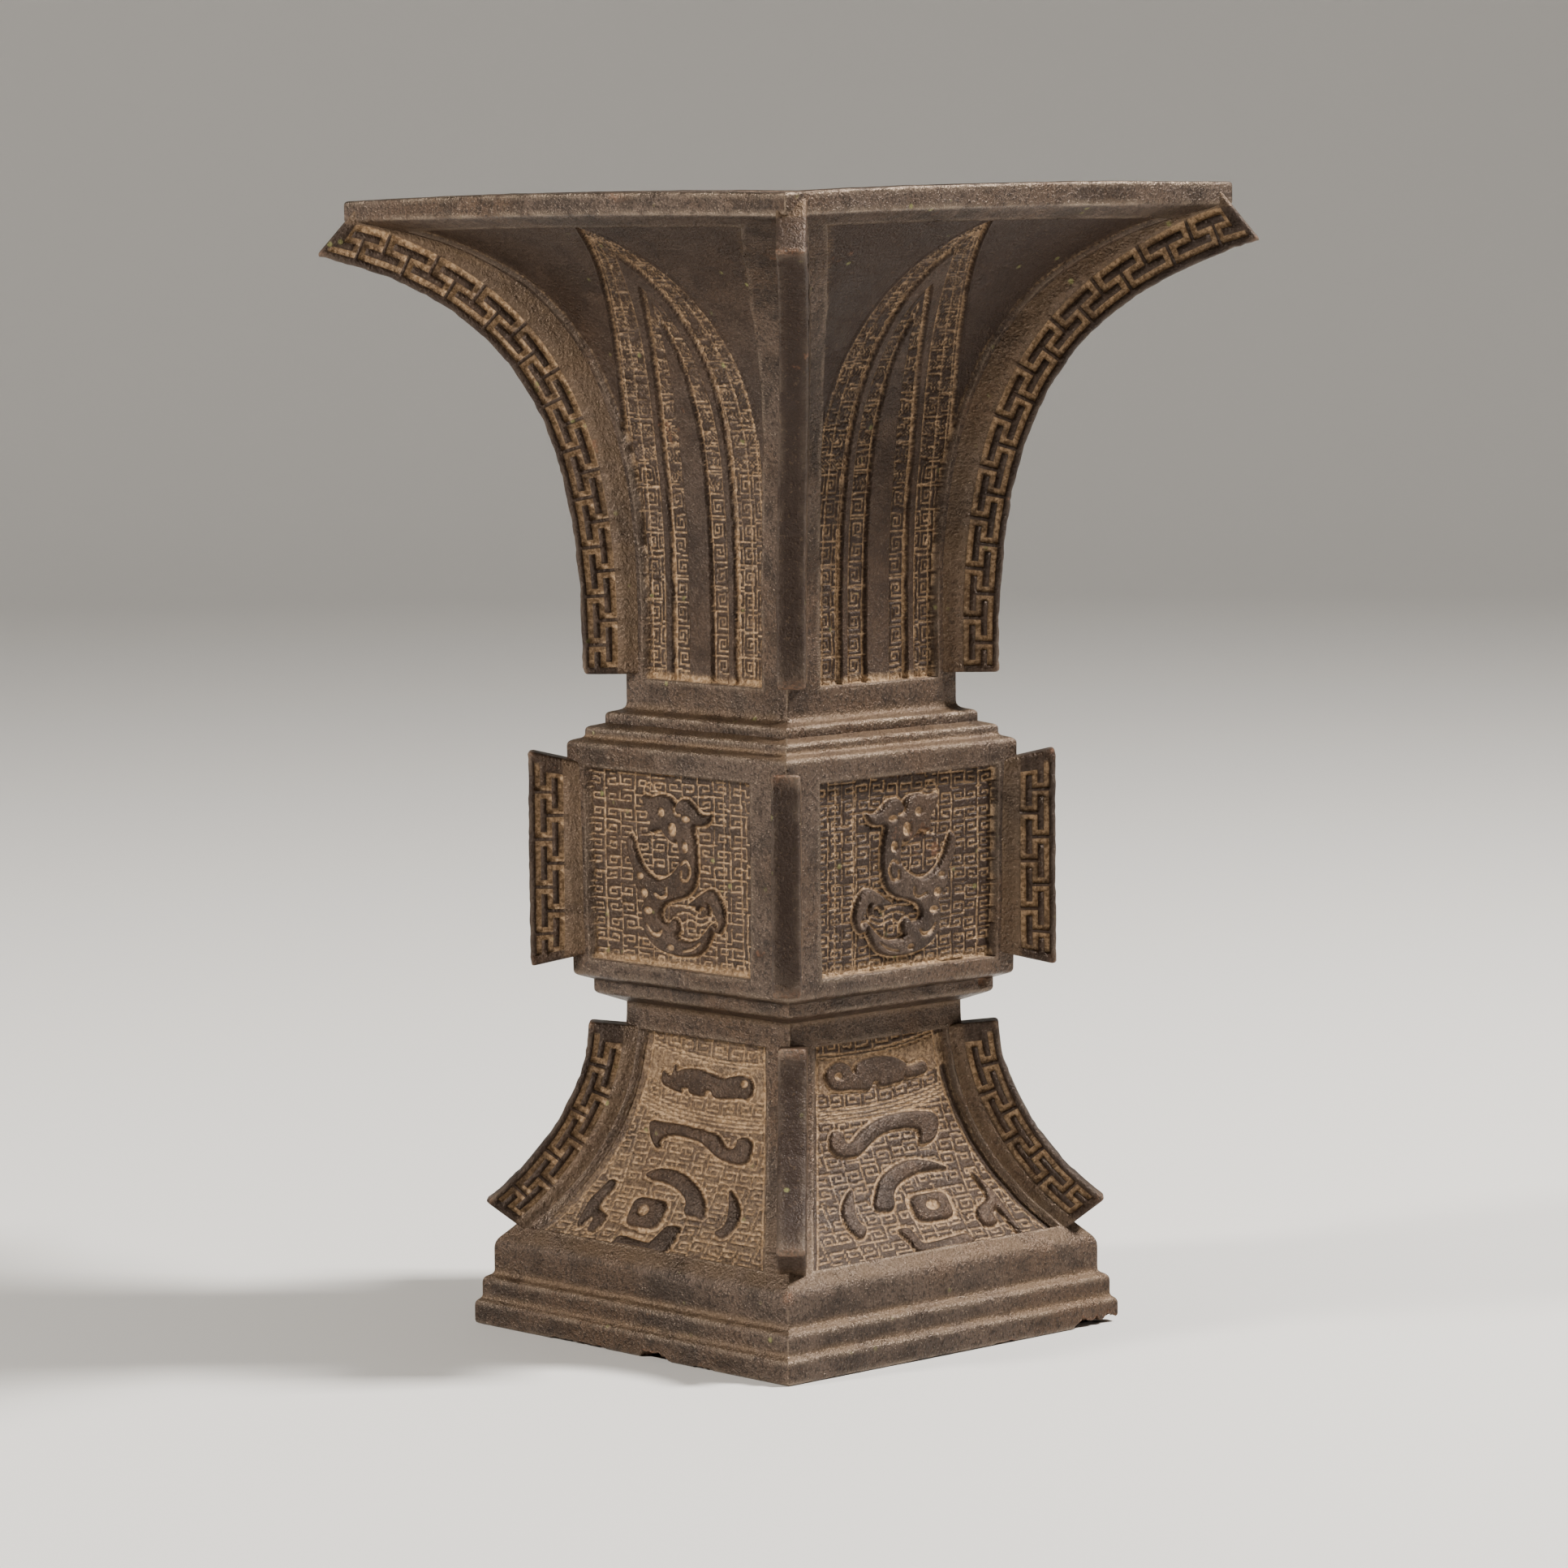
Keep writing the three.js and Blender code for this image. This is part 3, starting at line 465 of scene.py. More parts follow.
CREATURE_LINES = [
    [[0.4, 24.0, 0.6], [2.4, 24.8, 0.6], [3.6, 22.8, 0.6], [2.6, 20.6, 0.6], [0.8, 20.6, 0.6], [0.6, 22.4, 0.6]],
    [[-8.2, 16.6, 0.7], [-6.4, 15.9, 0.7], [-4.6, 16.6, 0.7], [-4.4, 18.2, 0.6]],
    [[-11.2, 9.4, 0.6], [-9.6, 7.6, 0.9], [-7.4, 7.4, 0.9], [-6.2, 8.4, 0.5]],
    [[-1.0, 38.4, 0.5], [-1.6, 36.6, 0.7], [-0.8, 35.2, 0.7], [0.6, 35.2, 0.6]],
    [[-0.8, 6.8, 0.5], [2.4, 7.2, 0.6], [5.4, 8.6, 0.6], [8.2, 11.2, 0.5]],
    [[0.8, 4.2, 0.4], [3.8, 5.0, 0.5], [6.4, 6.6, 0.4]],
]
CREATURE_OPEN = [
    [[-12.3, 38.0, 0.4], [-12.2, 40.6, 0.4], [-10.4, 41.8, 0.4], [-8.6, 40.2, 0.4], [-6.0, 39.4, 0.4]],
    [[-4.4, 14.2, 0.4], [0.6, 14.4, 0.4], [5.6, 13.2, 0.4]],
    [[-2.2, 12.4, 0.4], [1.2, 13.0, 0.4], [4.8, 12.0, 0.4], [7.8, 12.6, 0.4]],
    [[-0.2, 10.6, 0.4], [2.4, 11.4, 0.4], [5.4, 10.6, 0.4], [8.4, 11.6, 0.4]],
    [[1.4, 12.8, 0.4], [1.0, 9.2, 0.4]],
    [[4.6, 14.6, 0.4], [4.0, 8.8, 0.4]],
]
TAIL_GROUND = [[-3.0, 13.2, 2.6], [1.6, 12.6, 4.6], [6.6, 12.0, 3.0]]
BLOCK_LINES_U = (-25.7, 13.9, 19.6)

# Low beast, brow, horn, crescent, jaw and side bar of the foot's mask, with heights above the panel's sill
MASK_FRONT = [
    [(-15.1, 37.5), (-12.5, 36.5), (-11.8, 39.0), (-11.0, 39.1), (-10.8, 37.8), (-8.6, 38.4), (-3.7, 38.8), (0.6, 38.3),
     (4.3, 37.6), (6.6, 38.1), (10.1, 38.8), (13.2, 38.3), (14.6, 36.9), (14.6, 34.9), (12.8, 33.5), (11.3, 33.7),
     (6.9, 33.2), (2.4, 33.0), (0.9, 34.2), (-0.9, 34.0), (-1.0, 33.0), (-5.8, 33.1), (-6.6, 34.1), (-8.4, 33.9),
     (-8.8, 33.0), (-12.6, 33.6), (-15.3, 34.6)],
    [(-16.8, 26.1), (-12.5, 26.3), (-5.7, 26.3), (0.5, 25.9), (5.4, 25.5), (7.5, 24.5), (9.1, 23.3), (11.2, 22.9),
     (12.6, 23.8), (12.7, 25.2), (14.9, 25.7), (17.1, 25.1), (17.8, 23.2), (17.8, 21.2), (15.8, 20.0), (11.0, 20.1),
     (7.2, 20.7), (3.6, 22.1), (0.1, 23.3), (-4.9, 23.7), (-8.6, 23.7), (-11.4, 23.0), (-12.2, 22.0), (-11.5, 21.0),
     (-12.8, 20.5), (-14.8, 21.7), (-16.3, 23.5)],
    [(-13.6, 14.7), (-11.3, 16.2), (-7.8, 16.8), (-4.2, 16.7), (0.1, 15.8), (3.8, 14.3), (6.9, 12.6), (9.2, 10.2),
     (10.0, 8.2), (6.8, 8.2), (3.4, 8.5), (2.4, 10.6), (0.0, 12.1), (-3.1, 13.2), (-6.5, 13.8), (-10.0, 13.9)],
    [(14.6, 14.7), (17.3, 13.4), (19.9, 11.4), (21.0, 9.3), (20.8, 7.2), (19.6, 5.7), (17.8, 5.1), (15.5, 5.6),
     (15.8, 6.4), (17.3, 7.5), (17.1, 9.6), (16.0, 11.7)],
    [(-13.8, 0.2), (-14.0, 1.2), (-12.7, 2.4), (-7.5, 2.1), (-3.2, 2.0), (-2.2, 2.9), (-0.5, 5.3), (0.8, 5.9),
     (3.9, 5.8), (4.5, 4.4), (2.1, 0.2)],
    [(-24.2, 12.8), (-22.1, 12.4), (-22.0, 11.2), (-23.5, 8.9), (-23.8, 6.7), (-20.5, 5.4), (-22.0, 2.3), (-24.3, 2.1),
     (-24.2, 4.2), (-25.5, 4.6), (-26.7, 2.8), (-28.4, 3.0), (-28.2, 7.7), (-26.2, 10.6)],
]
MASK_RIGHT = [
    [(15.4, 39.2), (13.4, 41.1), (10.6, 41.7), (7.7, 40.7), (6.5, 38.8), (5.3, 40.5), (2.2, 41.6), (-1.5, 41.8),
     (-6.3, 41.2), (-9.8, 39.7), (-10.9, 38.6), (-15.7, 39.2), (-16.2, 36.6), (-10.5, 36.0), (-9.0, 36.6),
     (-8.5, 35.5), (-1.7, 35.0), (-0.7, 36.2), (0.9, 36.0), (2.0, 34.7), (8.0, 35.2), (11.5, 35.3), (14.4, 36.3)],
    [(17.5, 25.0), (16.0, 26.9), (13.1, 26.6), (12.6, 24.6), (10.8, 24.3), (7.1, 26.3), (1.1, 28.2), (-6.3, 28.9),
     (-13.6, 28.4), (-16.8, 27.5), (-17.3, 25.3), (-15.4, 22.5), (-11.9, 21.4), (-9.9, 21.9), (-10.8, 24.3),
     (-7.8, 25.3), (-1.7, 25.3), (3.0, 24.2), (6.6, 22.5), (10.1, 21.2), (15.4, 21.6), (17.5, 23.3)],
    [(-16.1, 15.7), (-13.1, 17.3), (-8.7, 18.4), (-4.5, 18.7), (0.2, 17.8), (4.6, 16.2), (7.7, 13.7), (10.3, 10.1),
     (5.9, 9.2), (3.9, 10.2), (3.3, 11.7), (0.5, 13.9), (-3.7, 15.3), (-8.8, 15.9)],
    [(14.9, 14.7), (17.9, 13.2), (20.3, 10.8), (20.8, 8.1), (19.9, 6.0), (18.4, 4.9), (16.1, 5.6), (15.2, 6.9),
     (16.5, 8.0), (16.6, 9.6), (15.6, 12.3)],
    [(6.4, 5.2), (3.2, 5.5), (1.6, 3.5), (-0.1, 2.1), (-10.2, 2.5), (-13.2, 2.4), (-13.5, 0.2), (2.5, 0.2),
     (4.7, 2.6)],
    [(-22.9, 14.5), (-24.6, 10.0), (-24.0, 8.2), (-19.8, 6.6), (-19.8, 3.4), (-24.1, 3.3), (-24.1, 4.9), (-26.1, 5.9),
     (-28.5, 0.6), (-29.9, 0.4), (-28.0, 8.5)],
]
# Eyes and pupils as centre and half sizes; how much higher the upper bands lie on the right and left
MASKS = {
    "front": {"figures": MASK_FRONT, "eye": (-8.5, 7.4, 5.7, 3.0), "pits": [(-9.3, 7.7, 1.7, 1.1), (12.0, 37.0, 1.1, 0.8)],
              "lift": 0.0},
    "right": {"figures": MASK_RIGHT, "eye": (-6.9, 8.7, 6.0, 2.8), "pits": [(-7.0, 8.9, 2.0, 1.0), (11.7, 38.6, 1.1, 0.8)],
              "lift": 2.1},
}
MASKS["back"], MASKS["left"] = MASKS["front"], MASKS["right"]
BAND_ARCH = (5.0, 0.004)


def panel_level(field, ground, figure_gap, cuts, figure_depth, film, ground_shade):
    """Depth, deposit and darkness of a panel: spirals on its ground, raised figures, lines cut in them; the darkness is
    painted shade on the ground and a darker tone on the figures.
    """
    ditch = line_mark(figure_gap - 0.3, 0.66)
    open_ground = smooth(0.25, 0.6, figure_gap)
    level = PANEL_DEPTH + GROOVE_DEPTH * np.maximum(ground * open_ground, ditch * 0.9)
    raised = 1.0 - smooth(-0.45, 0.05, figure_gap)
    crown = 0.18 * smooth(0.0, 2.4, -figure_gap)
    level = level + (figure_depth - crown - level) * raised
    level = level + 0.75 * cuts * raised
    deposit = np.maximum(np.maximum(ground * open_ground, 0.9 * ditch), 0.9 * cuts * raised)
    # Painted shade on the ground between the lines, less where the tan deposit lies; a darker tone on the raised
    # figures
    dark = np.maximum(ground_shade * (1.0 - raised), 0.3 * raised) * (1.0 - deposit)
    deposit = np.maximum(deposit, film * (1.0 - raised))
    return level * field, deposit * field, dark * field


def block_relief(u, z, run, field, side):
    v = z - BLOCK_SILL
    wave = 0.22 * noise(u / 5.0, v / 5.0, 11)
    gap = np.minimum(outline_distance(u + wave, v, CREATURE), figure_distance(u + wave, v, TAIL))
    cut = np.minimum(pit_distance(u, v, CREATURE_PITS), figure_distance(u, v, CREATURE_LINES))
    cuts = 1.0 - smooth(-0.25, 0.3, cut)
    width, height = BLOCK_CELL_WIDTH[side], CELL_HEIGHT[side]
    ground = spiral_ground(u - BLOCK_LINES_U[0], v, width, height, 21, SPIRAL_LINE[side])
    for line in BLOCK_LINES_U:
        ground = np.maximum(ground, 0.8 * line_mark(u - line + 0.25 * noise(v / 8.0, u * 0, 12), 0.5))
    inner = smooth(-0.2, 0.2, stroke_distance(u, v, TAIL_GROUND))
    ground = np.maximum(ground * inner, line_mark(figure_distance(u, v, CREATURE_OPEN) + 0.2, 0.5))
    film = FIGURE_FILM * FILM_SHARE[side]
    return panel_level(field, ground, gap, cuts, FIGURE_DEPTH, film, GROUND_SHADE[side])


def foot_relief(u, z, run, field, side):
    mask = MASKS[side]
    v = z - FOOT_SILL
    far = half_at(z) - FOOT_FAR_MARGIN
    near = half_at(z) - FOOT_NEAR_MARGIN
    wave = 0.2 * noise(u / 5.0, v / 5.0, 31)
    eye_u, eye_v, eye_half_width, eye_half_height = mask["eye"]
    eye = np.hypot(((u - eye_u) / eye_half_width) ** 2, ((v - eye_v) / eye_half_height) ** 2) ** 0.5
    gap = np.minimum.reduce([outline_distance(u + wave, v, outline) for outline in mask["figures"]])
    gap = np.minimum(gap, (eye - 1.0) * eye_half_height)
    cuts = 1.0 - smooth(-0.3, 0.35, pit_distance(u, v, mask["pits"]))

    low, pull = BAND_ARCH
    band = v - pull * (u - low) ** 2 - mask["lift"]
    width, height, line = FOOT_CELL_WIDTH[side], CELL_HEIGHT[side], SPIRAL_LINE[side]
    ground = spiral_ground(u, run, width, height, 41, line)
    upper = spiral_ground(u, band - 41.2, width, 4.2, 43, line)
    middle = spiral_ground(u, band - 29.3, width, 3.5, 45, line)
    ground = np.where(band > 26.2, 0.0, ground)
    ground = np.where(band > 41.2, upper, ground)
    ground = np.where((band > 29.3) & (band < 32.8), middle, ground)
    for height, width in ((41.2, 0.6), (40.3, 0.5), (29.3, 0.5), (28.4, 0.6), (27.5, 0.6), (26.6, 0.6)):
        ground = np.maximum(ground, line_mark(band - height, width))
    edge = np.minimum(u + far, near - u)
    for inset in (0.2, 1.4, 2.4):
        ground = np.maximum(np.where(edge < 2.6, 0.0, ground), line_mark(edge - inset, 0.6))
    plain = (band > 32.8) & (band < 40.0)
    film = np.where(plain, PLAIN_BAND_FILM, MASK_FILM * FILM_SHARE[side])
    # Painted shade on the ground between the lines, none on the plain band
    ground_shade = np.where(plain, 0.0, 0.7 * GROUND_SHADE[side])
    return panel_level(field, ground, gap, cuts, MASK_DEPTH, film, ground_shade)


def arch_half(arch, height):
    """Half width of a pointed arch (half width, shoulder height, tip height) at a height."""
    half, shoulder, tip = arch
    rise = tip - shoulder
    side = bezier((half, shoulder), (half, shoulder + rise * 0.45), (half * 0.55, shoulder + rise * 0.85), (0, tip), 60)
    return np.interp(height, side[:, 1], side[:, 0], left=half, right=-9.0)


LEAF_LINE_LIMIT = 0.5


def leaf_columns(x, height, low, high, count, seed, line):
    """Columns of narrow spirals between two arches, from low to high half widths."""
    span = np.maximum(high - low, 0.8)
    share = (x - low) / span * count
    width = span / count
    spiral = LEAF_SPIRAL if line < LEAF_LINE_LIMIT else SPIRAL
    marks = spiral_ground(share * width + seed * 50.0, height, width, LEAF_CELL_HEIGHT, seed, line, spiral)
    rows = line_mark((share - np.round(share)) * width, 0.55)
    return np.maximum(marks * 0.95, rows)


def neck_relief(u, z, run, field, side):
    x = np.abs(u - LEAF_AXIS + 0.15 * noise(z / 14.0, u * 0, 51))
    leaf, outer, inner, spine = (arch_half(arch, z) for arch in (LEAF, BAND_OUTER, BAND_INNER, SPINE))
    outer_low = np.maximum(outer, 0.0)
    inner_low = np.maximum(inner, 0.0)
    spine_low = np.maximum(spine, 0.0)

    in_leaf = smooth(-0.15, 0.15, leaf - x)
    band = smooth(-0.15, 0.2, outer - x) * smooth(-0.15, 0.2, x - inner)
    stem = smooth(-0.15, 0.2, spine - x)
    line = SPIRAL_LINE[side]
    mirrored = run + 37.0 * (u > LEAF_AXIS)
    pattern = leaf_columns(x, mirrored, outer_low + 1.0, leaf - 0.6, 2, 61, line)
    within = leaf_columns(x, mirrored, spine_low + 0.5, inner_low - 0.8, 1, 63, line)
    nested = line_mark(np.mod(inner - x, 1.9) - 0.95, 0.7)
    within = np.where(z > 232.0, nested, within)
    marks = np.where(x < inner, within, pattern)
    for edge in (leaf - 0.35, leaf - 1.5, outer + 0.35, inner - 0.35):
        marks = np.maximum(marks, line_mark(x - edge, 0.55))
    marks = marks * (1.0 - band) * (1.0 - stem) * in_leaf
    raised = np.maximum(band, stem)

    faded = 1.0 - 0.12 * smooth(200.0, 245.0, z)
    plain = NECK_FIELD_DEPTH * faded
    ground = (NECK_GROUND_DEPTH + GROOVE_DEPTH * marks) * faded
    level = plain + (ground - plain) * in_leaf
    level = level + (0.9 * faded - level) * raised
    rim_line = line_mark(x - leaf - 0.3, 0.9) * (z > 205.0)
    level = level - 0.3 * rim_line * (1.0 - in_leaf)
    deposit = np.maximum(marks * (0.6 + 0.25 * smooth(235.0, 170.0, z)), 0.12 * in_leaf * (1 - raised))
    # Painted shade on the leaf's ground between the lines and on the plain field round the leaf, deepest on the right
    # face; a darker tone on the raised band and stem
    ground_shade = min(GROUND_SHADE[side] + 0.2, 1.0)
    dark = ground_shade * in_leaf * (1.0 - raised) * (1.0 - marks) + 0.45 * raised * in_leaf
    dark = dark + FIELD_SHADE[side] * (1.0 - in_leaf)
    return level * field, deposit * field, dark * field


def field_edges(rows, far_margin, near_margin, seed):
    """Far and near edges of a sunk field for each row, slightly wavy."""
    far = far_margin - rows["half"] + 0.22 * noise(rows["run"] / 4.0, rows["run"] * 0, seed)
    near = rows["half"] - near_margin + 0.22 * noise(rows["run"] / 4.0, rows["run"] * 0, seed + 1)
    return far, near


ZONES = {
    "foot": {
        "profile": foot_profile, "relief": foot_relief, "field": (FOOT_SILL, FOOT_HEAD),
        "margins": (FOOT_FAR_MARGIN, FOOT_NEAR_MARGIN), "columns": 168, "spacing": 0.33, "seed": 71,
    },
    "block": {
        "profile": block_profile, "relief": block_relief, "field": (BLOCK_SILL, BLOCK_HEAD),
        "margins": (BLOCK_FAR_MARGIN, BLOCK_NEAR_MARGIN), "columns": 180, "spacing": 0.31, "seed": 81,
    },
    "neck": {
        "profile": neck_profile, "relief": neck_relief, "field": (NECK_SILL, NECK_HEAD),
        "margins": (NECK_FAR_MARGIN, NECK_NEAR_MARGIN), "columns": 144, "spacing": 0.36, "seed": 91,
    },
}
PLAIN_SPACING = 0.8
RING_SPACING = 0.7
CORNER_RADIUS = 0.6
FINE = {"front": 1.0, "right": 1.0, "back": 2.1, "left": 2.1}
PLAIN_COLUMNS = 9
# How high the dust lies on the sill of each field
SILL_DUST = {"foot": 0.9, "block": 3.4, "neck": 3.4}
# How much wider the near margins are at the bottom of each field, and how much more at the top of the neck's
NEAR_EXTRA = {
    "neck": {"front": 0.0, "right": 2.2, "back": 0.0, "left": 1.0},
    "block": {"front": 0.8, "right": -0.7, "back": 0.4, "left": -0.4},
    "foot": {"front": 0.0, "right": 0.0, "back": 0.0, "left": 0.0},
}
NECK_NEAR_WIDENING = {"front": 6.0, "right": 1.6, "back": 4.0, "left": 3.0}


def zone_columns(side, zone_name, rows, zone, coarse):
    """Columns of a zone for each row, closely spaced where the pattern is."""
    half = rows["half"] - CORNER_RADIUS
    far_margin, near_margin = zone["margins"]
    near_margin = near_margin + NEAR_EXTRA[zone_name][side]
    if zone_name == "neck":
        near_margin = near_margin + NECK_NEAR_WIDENING[side] * smooth(205.0, NECK_HEAD, rows["z"])
    far, near = field_edges(rows, far_margin, near_margin, zone["seed"])
    count = int(zone["columns"] / coarse)
    if zone_name == "neck":
        reach = LEAF[0] + 1.2
        left = np.maximum(LEAF_AXIS - reach, far + 1.2)
        right = np.minimum(LEAF_AXIS + reach, near - 1.2)
    else:
        left, right = far + 0.8, near - 0.8
    knots = [-half, far - WALL_RUN - 0.35, far - WALL_RUN, far, far + 0.35, left,
             right, near - 0.35, near, near + WALL_RUN, near + WALL_RUN + 0.35, half]
    side = 6 if zone_name == "neck" else 2
    counts = [PLAIN_COLUMNS, 1, 1, 1, side, count, side, 1, 1, 1, PLAIN_COLUMNS]
    return spread(knots, counts), far, near


def face_zone(side, zone_name):
    zone = ZONES[zone_name]
    coarse = FINE[side]
    sill, head = zone["field"]
    spacing = zone["spacing"] * coarse

    def spacing_at(height):
        if sill - 0.1 < height < head + 0.1:
            return spacing
        return RING_SPACING if height < RING_TOP else PLAIN_SPACING

    marks = [sill - 0.35, sill, sill + WALL_RUN, head - WALL_RUN, head, head + 0.35]
    rows = rows_along(zone["profile"](), spacing_at, marks)
    flat, far, near = zone_columns(side, zone_name, rows, zone, coarse)

    half = rows["half"][:, None]
    arc_u = half - CORNER_RADIUS * (1 - np.sin(CORNER_ANGLES))[None, :]
    arc_drop = CORNER_RADIUS * (1 - np.cos(CORNER_ANGLES))[None, :] + 0 * half
    u = np.concatenate([-arc_u, flat, arc_u[:, ::-1]], axis=1)
    drop = np.concatenate([arc_drop, 0 * flat, arc_drop[:, ::-1]], axis=1)
    z = rows["z"][:, None] + 0 * u
    run = rows["run"][:, None] + 0 * u

    across = np.minimum(u - far[:, None] + WALL_RUN, near[:, None] + WALL_RUN - u) / WALL_RUN
    upward = np.minimum(z - sill, head - z) / WALL_RUN
    field = np.clip(np.minimum(across, upward), 0.0, 1.0)
    level, deposit, dark = zone["relief"](u, z, run, field, side)

    edge = smooth(0.0, 4.0, half - np.abs(u))
    uneven = 0.10 * noise(u / 11.0, run / 11.0, zone["seed"]) + 0.05 * noise(u / 3.1, run / 3.1, zone["seed"] + 4)
    level = level - uneven * edge * (z > 0.5)
    out = half - drop - level * rows["out"][:, None]
    height = z - level * rows["up"][:, None]

    inner_edge = np.minimum(u - far[:, None], near[:, None] - u)
    low = field * (1 - smooth(0.0, SILL_DUST[zone_name], z - sill)) * (inner_edge > -0.2)
    rim = field * (1 - smooth(0.0, 1.5, np.minimum(inner_edge, head - z)))
    deposit = np.maximum(deposit, np.maximum(0.9 * low, 0.35 * rim))
    ledge = 0.8 * smooth(0.35, 0.9, rows["up"])[:, None] * (z < RIM_TOP - 4) * (1 - field)
    turned = np.gradient(rows["up"], rows["run"])[:, None] + 0 * u
    corner = np.clip(-turned * 1.1, 0.0, 1.0) * (z > 1.0) * (z < NECK_BOTTOM + 3.0) * (1 - field)
    ledge = np.maximum(ledge, corner)
    # Rubbed metal on the convex edges and rounded corners, also a painted highlight along them
    wear = np.clip(turned * 0.9 - 0.15, 0.0, 0.8) * (1 - field)
    wear = np.maximum(wear, 0.7 * smooth(0.02, 0.2, drop / CORNER_RADIUS))
    # Painted highlight along the lip of each sunk field
    field_lip_highlight = np.maximum(
        line_mark(across + 0.6, 1.6), line_mark(upward + 0.6, 1.6)) * (field < 0.5)
    near_field = (across > -3.0) & (upward > -3.0)
    wear = np.maximum(wear, 0.45 * field_lip_highlight * near_field)
    return {
        "u": u, "out": out, "z": height, "deposit": deposit, "dark": dark, "ledge": ledge + 0 * u, "wear": wear,
    }


def place(side, u, out):
    along, outward = FACES[side]
    return u * along[0] + out * outward[0], u * along[1] + out * outward[1]


def finish_piece(piece):
    piece.data.materials.append(bronze)
    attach(piece, "root")
    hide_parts("gu_vase")
    return piece


def face_piece(side, zone_name):
    sheet = face_zone(side, zone_name)
    x, y = place(side, sheet["u"], sheet["out"])
    points = warped(np.column_stack([x.ravel(), y.ravel(), sheet["z"].ravel()]))
    points, bare = chipped(points)
    rows, columns = sheet["u"].shape
    quads = grid_quads(rows, columns, side in ("right", "left"))
    marks = {name: sheet[name].ravel() for name in ("deposit", "dark", "ledge", "wear")}
    marks["bare"] = bare
    return finish_piece(mesh_object(f"{zone_name}_{side}", points, quads, marks))


# Flanges, drawn in reach along the diagonal and height
DIAGONAL = math.sqrt(2.0)
FLANGE_FRONT = 0.8
END_TURN = 12.0


def flange_curves():
    tip = (107.0, 247.2)
    return {
        "neck": {
            "edge": bezier((47.5, 150.6), (47.5, 204.2), (57.4, 233.9), tip, 200), "growth": 0.22,
            "first": (-1.0, 0.0), "last": (MOUTH_HALF * DIAGONAL - 0.6 - tip[0], NECK_TOP + 0.5 - tip[1]),
            "wear": 0.6,
        },
        "block": {
            "edge": np.array([(60.27, BLOCK_BOTTOM + 2.0), (60.27, BLOCK_TOP - 2.0)]), "growth": 0.0,
            "first": (-11.6, 2.6), "last": (-11.6, -2.6), "wear": 0.35,
        },
        "foot": {
            "edge": bezier((71.4, 29.0), (56.0, 40.4), (47.0, 58.0), (47.0, 70.6), 120), "growth": 0.0,
            "first": (-8.2, -6.2), "last": (-11.4, -1.0), "wear": 0.5,
        },
    }


def fret_lines(length):
    """Runs along the edge where the fret's upright and lengthwise lines lie."""
    units = max(int((length - 3.0) // FRET_PITCH), 1)
    start = (length - units * FRET_PITCH) / 2
    short, long = FRET_HOOK_SHORT, FRET_HOOK_LONG
    middle, low, high = 0.5, 0.0, 1.0
    upright, lengthwise = [], []
    for i in range(units):
        s = start + i * FRET_PITCH
        upright += [(s, middle, high), (s + short, low, middle),
                    (s + long - short, low, middle), (s + long, middle, high)]
        lengthwise += [(s, s + long, high), (s, s + short, middle), (s + long - short, s + long, middle),
                       (s, s + short, low), (s + long - short, s + FRET_PITCH, low)]
    return upright, lengthwise


def stops_between(places, low, high, widest):
    """Grid lines from low to high: every line wall beside the places, and fill between them."""
    walls = []
    for place_ in places:
        for side in (-1, 1):
            walls += [place_ + side * (FRET_LINE / 2 - FRET_WALL / 2), place_ + side * (FRET_LINE / 2 + FRET_WALL / 2)]
    lines = sorted({round(w, 4) for w in walls if low + 0.15 < w < high - 0.15} | {low, high})
    stops = [lines[0]]
    for line in lines[1:]:
        gap = line - stops[-1]
        if gap < 0.03:
            continue
        count = max(math.ceil(gap / widest), 1)
        stops += [stops[-1] + gap * (i + 1) / count for i in range(count)][:count]
    return np.array(stops)


def edge_stations(edge, runs):
    """Points and inward directions at runs along an edge."""
    lengths = np.linalg.norm(np.diff(edge, axis=0), axis=1)
    total = np.r_[0.0, np.cumsum(lengths)]
    points = np.column_stack([np.interp(runs, total, edge[:, i]) for i in (0, 1)])
    ahead = np.column_stack([np.interp(np.minimum(runs + 0.5, total[-1]), total, edge[:, i]) for i in (0, 1)])
    behind = np.column_stack([np.interp(np.maximum(runs - 0.5, 0.0), total, edge[:, i]) for i in (0, 1)])
    along = ahead - behind
    along /= np.linalg.norm(along, axis=1)[:, None]
    return points, np.column_stack([-along[:, 1], along[:, 0]])


def root_distance(points, inward):
    """How far each station runs before it is inside the wall."""
    reach = np.arange(3.0, 34.0, 0.1)
    x = points[:, :1] + inward[:, :1] * reach[None, :]
    z = points[:, 1:] + inward[:, 1:] * reach[None, :]
    inside = (x < half_at(z) * DIAGONAL - FLANGE_ROOT_SINK) | (z > RIM_TOP - 1.6)
    first = np.where(inside.any(axis=1), inside.argmax(axis=1), len(reach) - 1)
    return reach[first]


def flange_rows(length, upright):
    """Runs of the rows, and how much each row is drawn in to round the two ends."""
    ends = FLANGE_FRONT * (1 - np.cos(np.radians([90, 60, 30, 0])))
    shifts = FLANGE_FRONT * (1 - np.sin(np.radians([0, 30, 60, 90])))
    ends = ends[::-1]
    middle = stops_between([s for s, _, _ in upright], FLANGE_FRONT, length - FLANGE_FRONT, 1.6)
    runs = np.r_[0.0, shifts[::-1][:3], middle, length - shifts[1:], length]
    insets = np.r_[99.0, ends[::-1][:3], 0 * middle, ends[1:], 99.0]
    return runs, insets


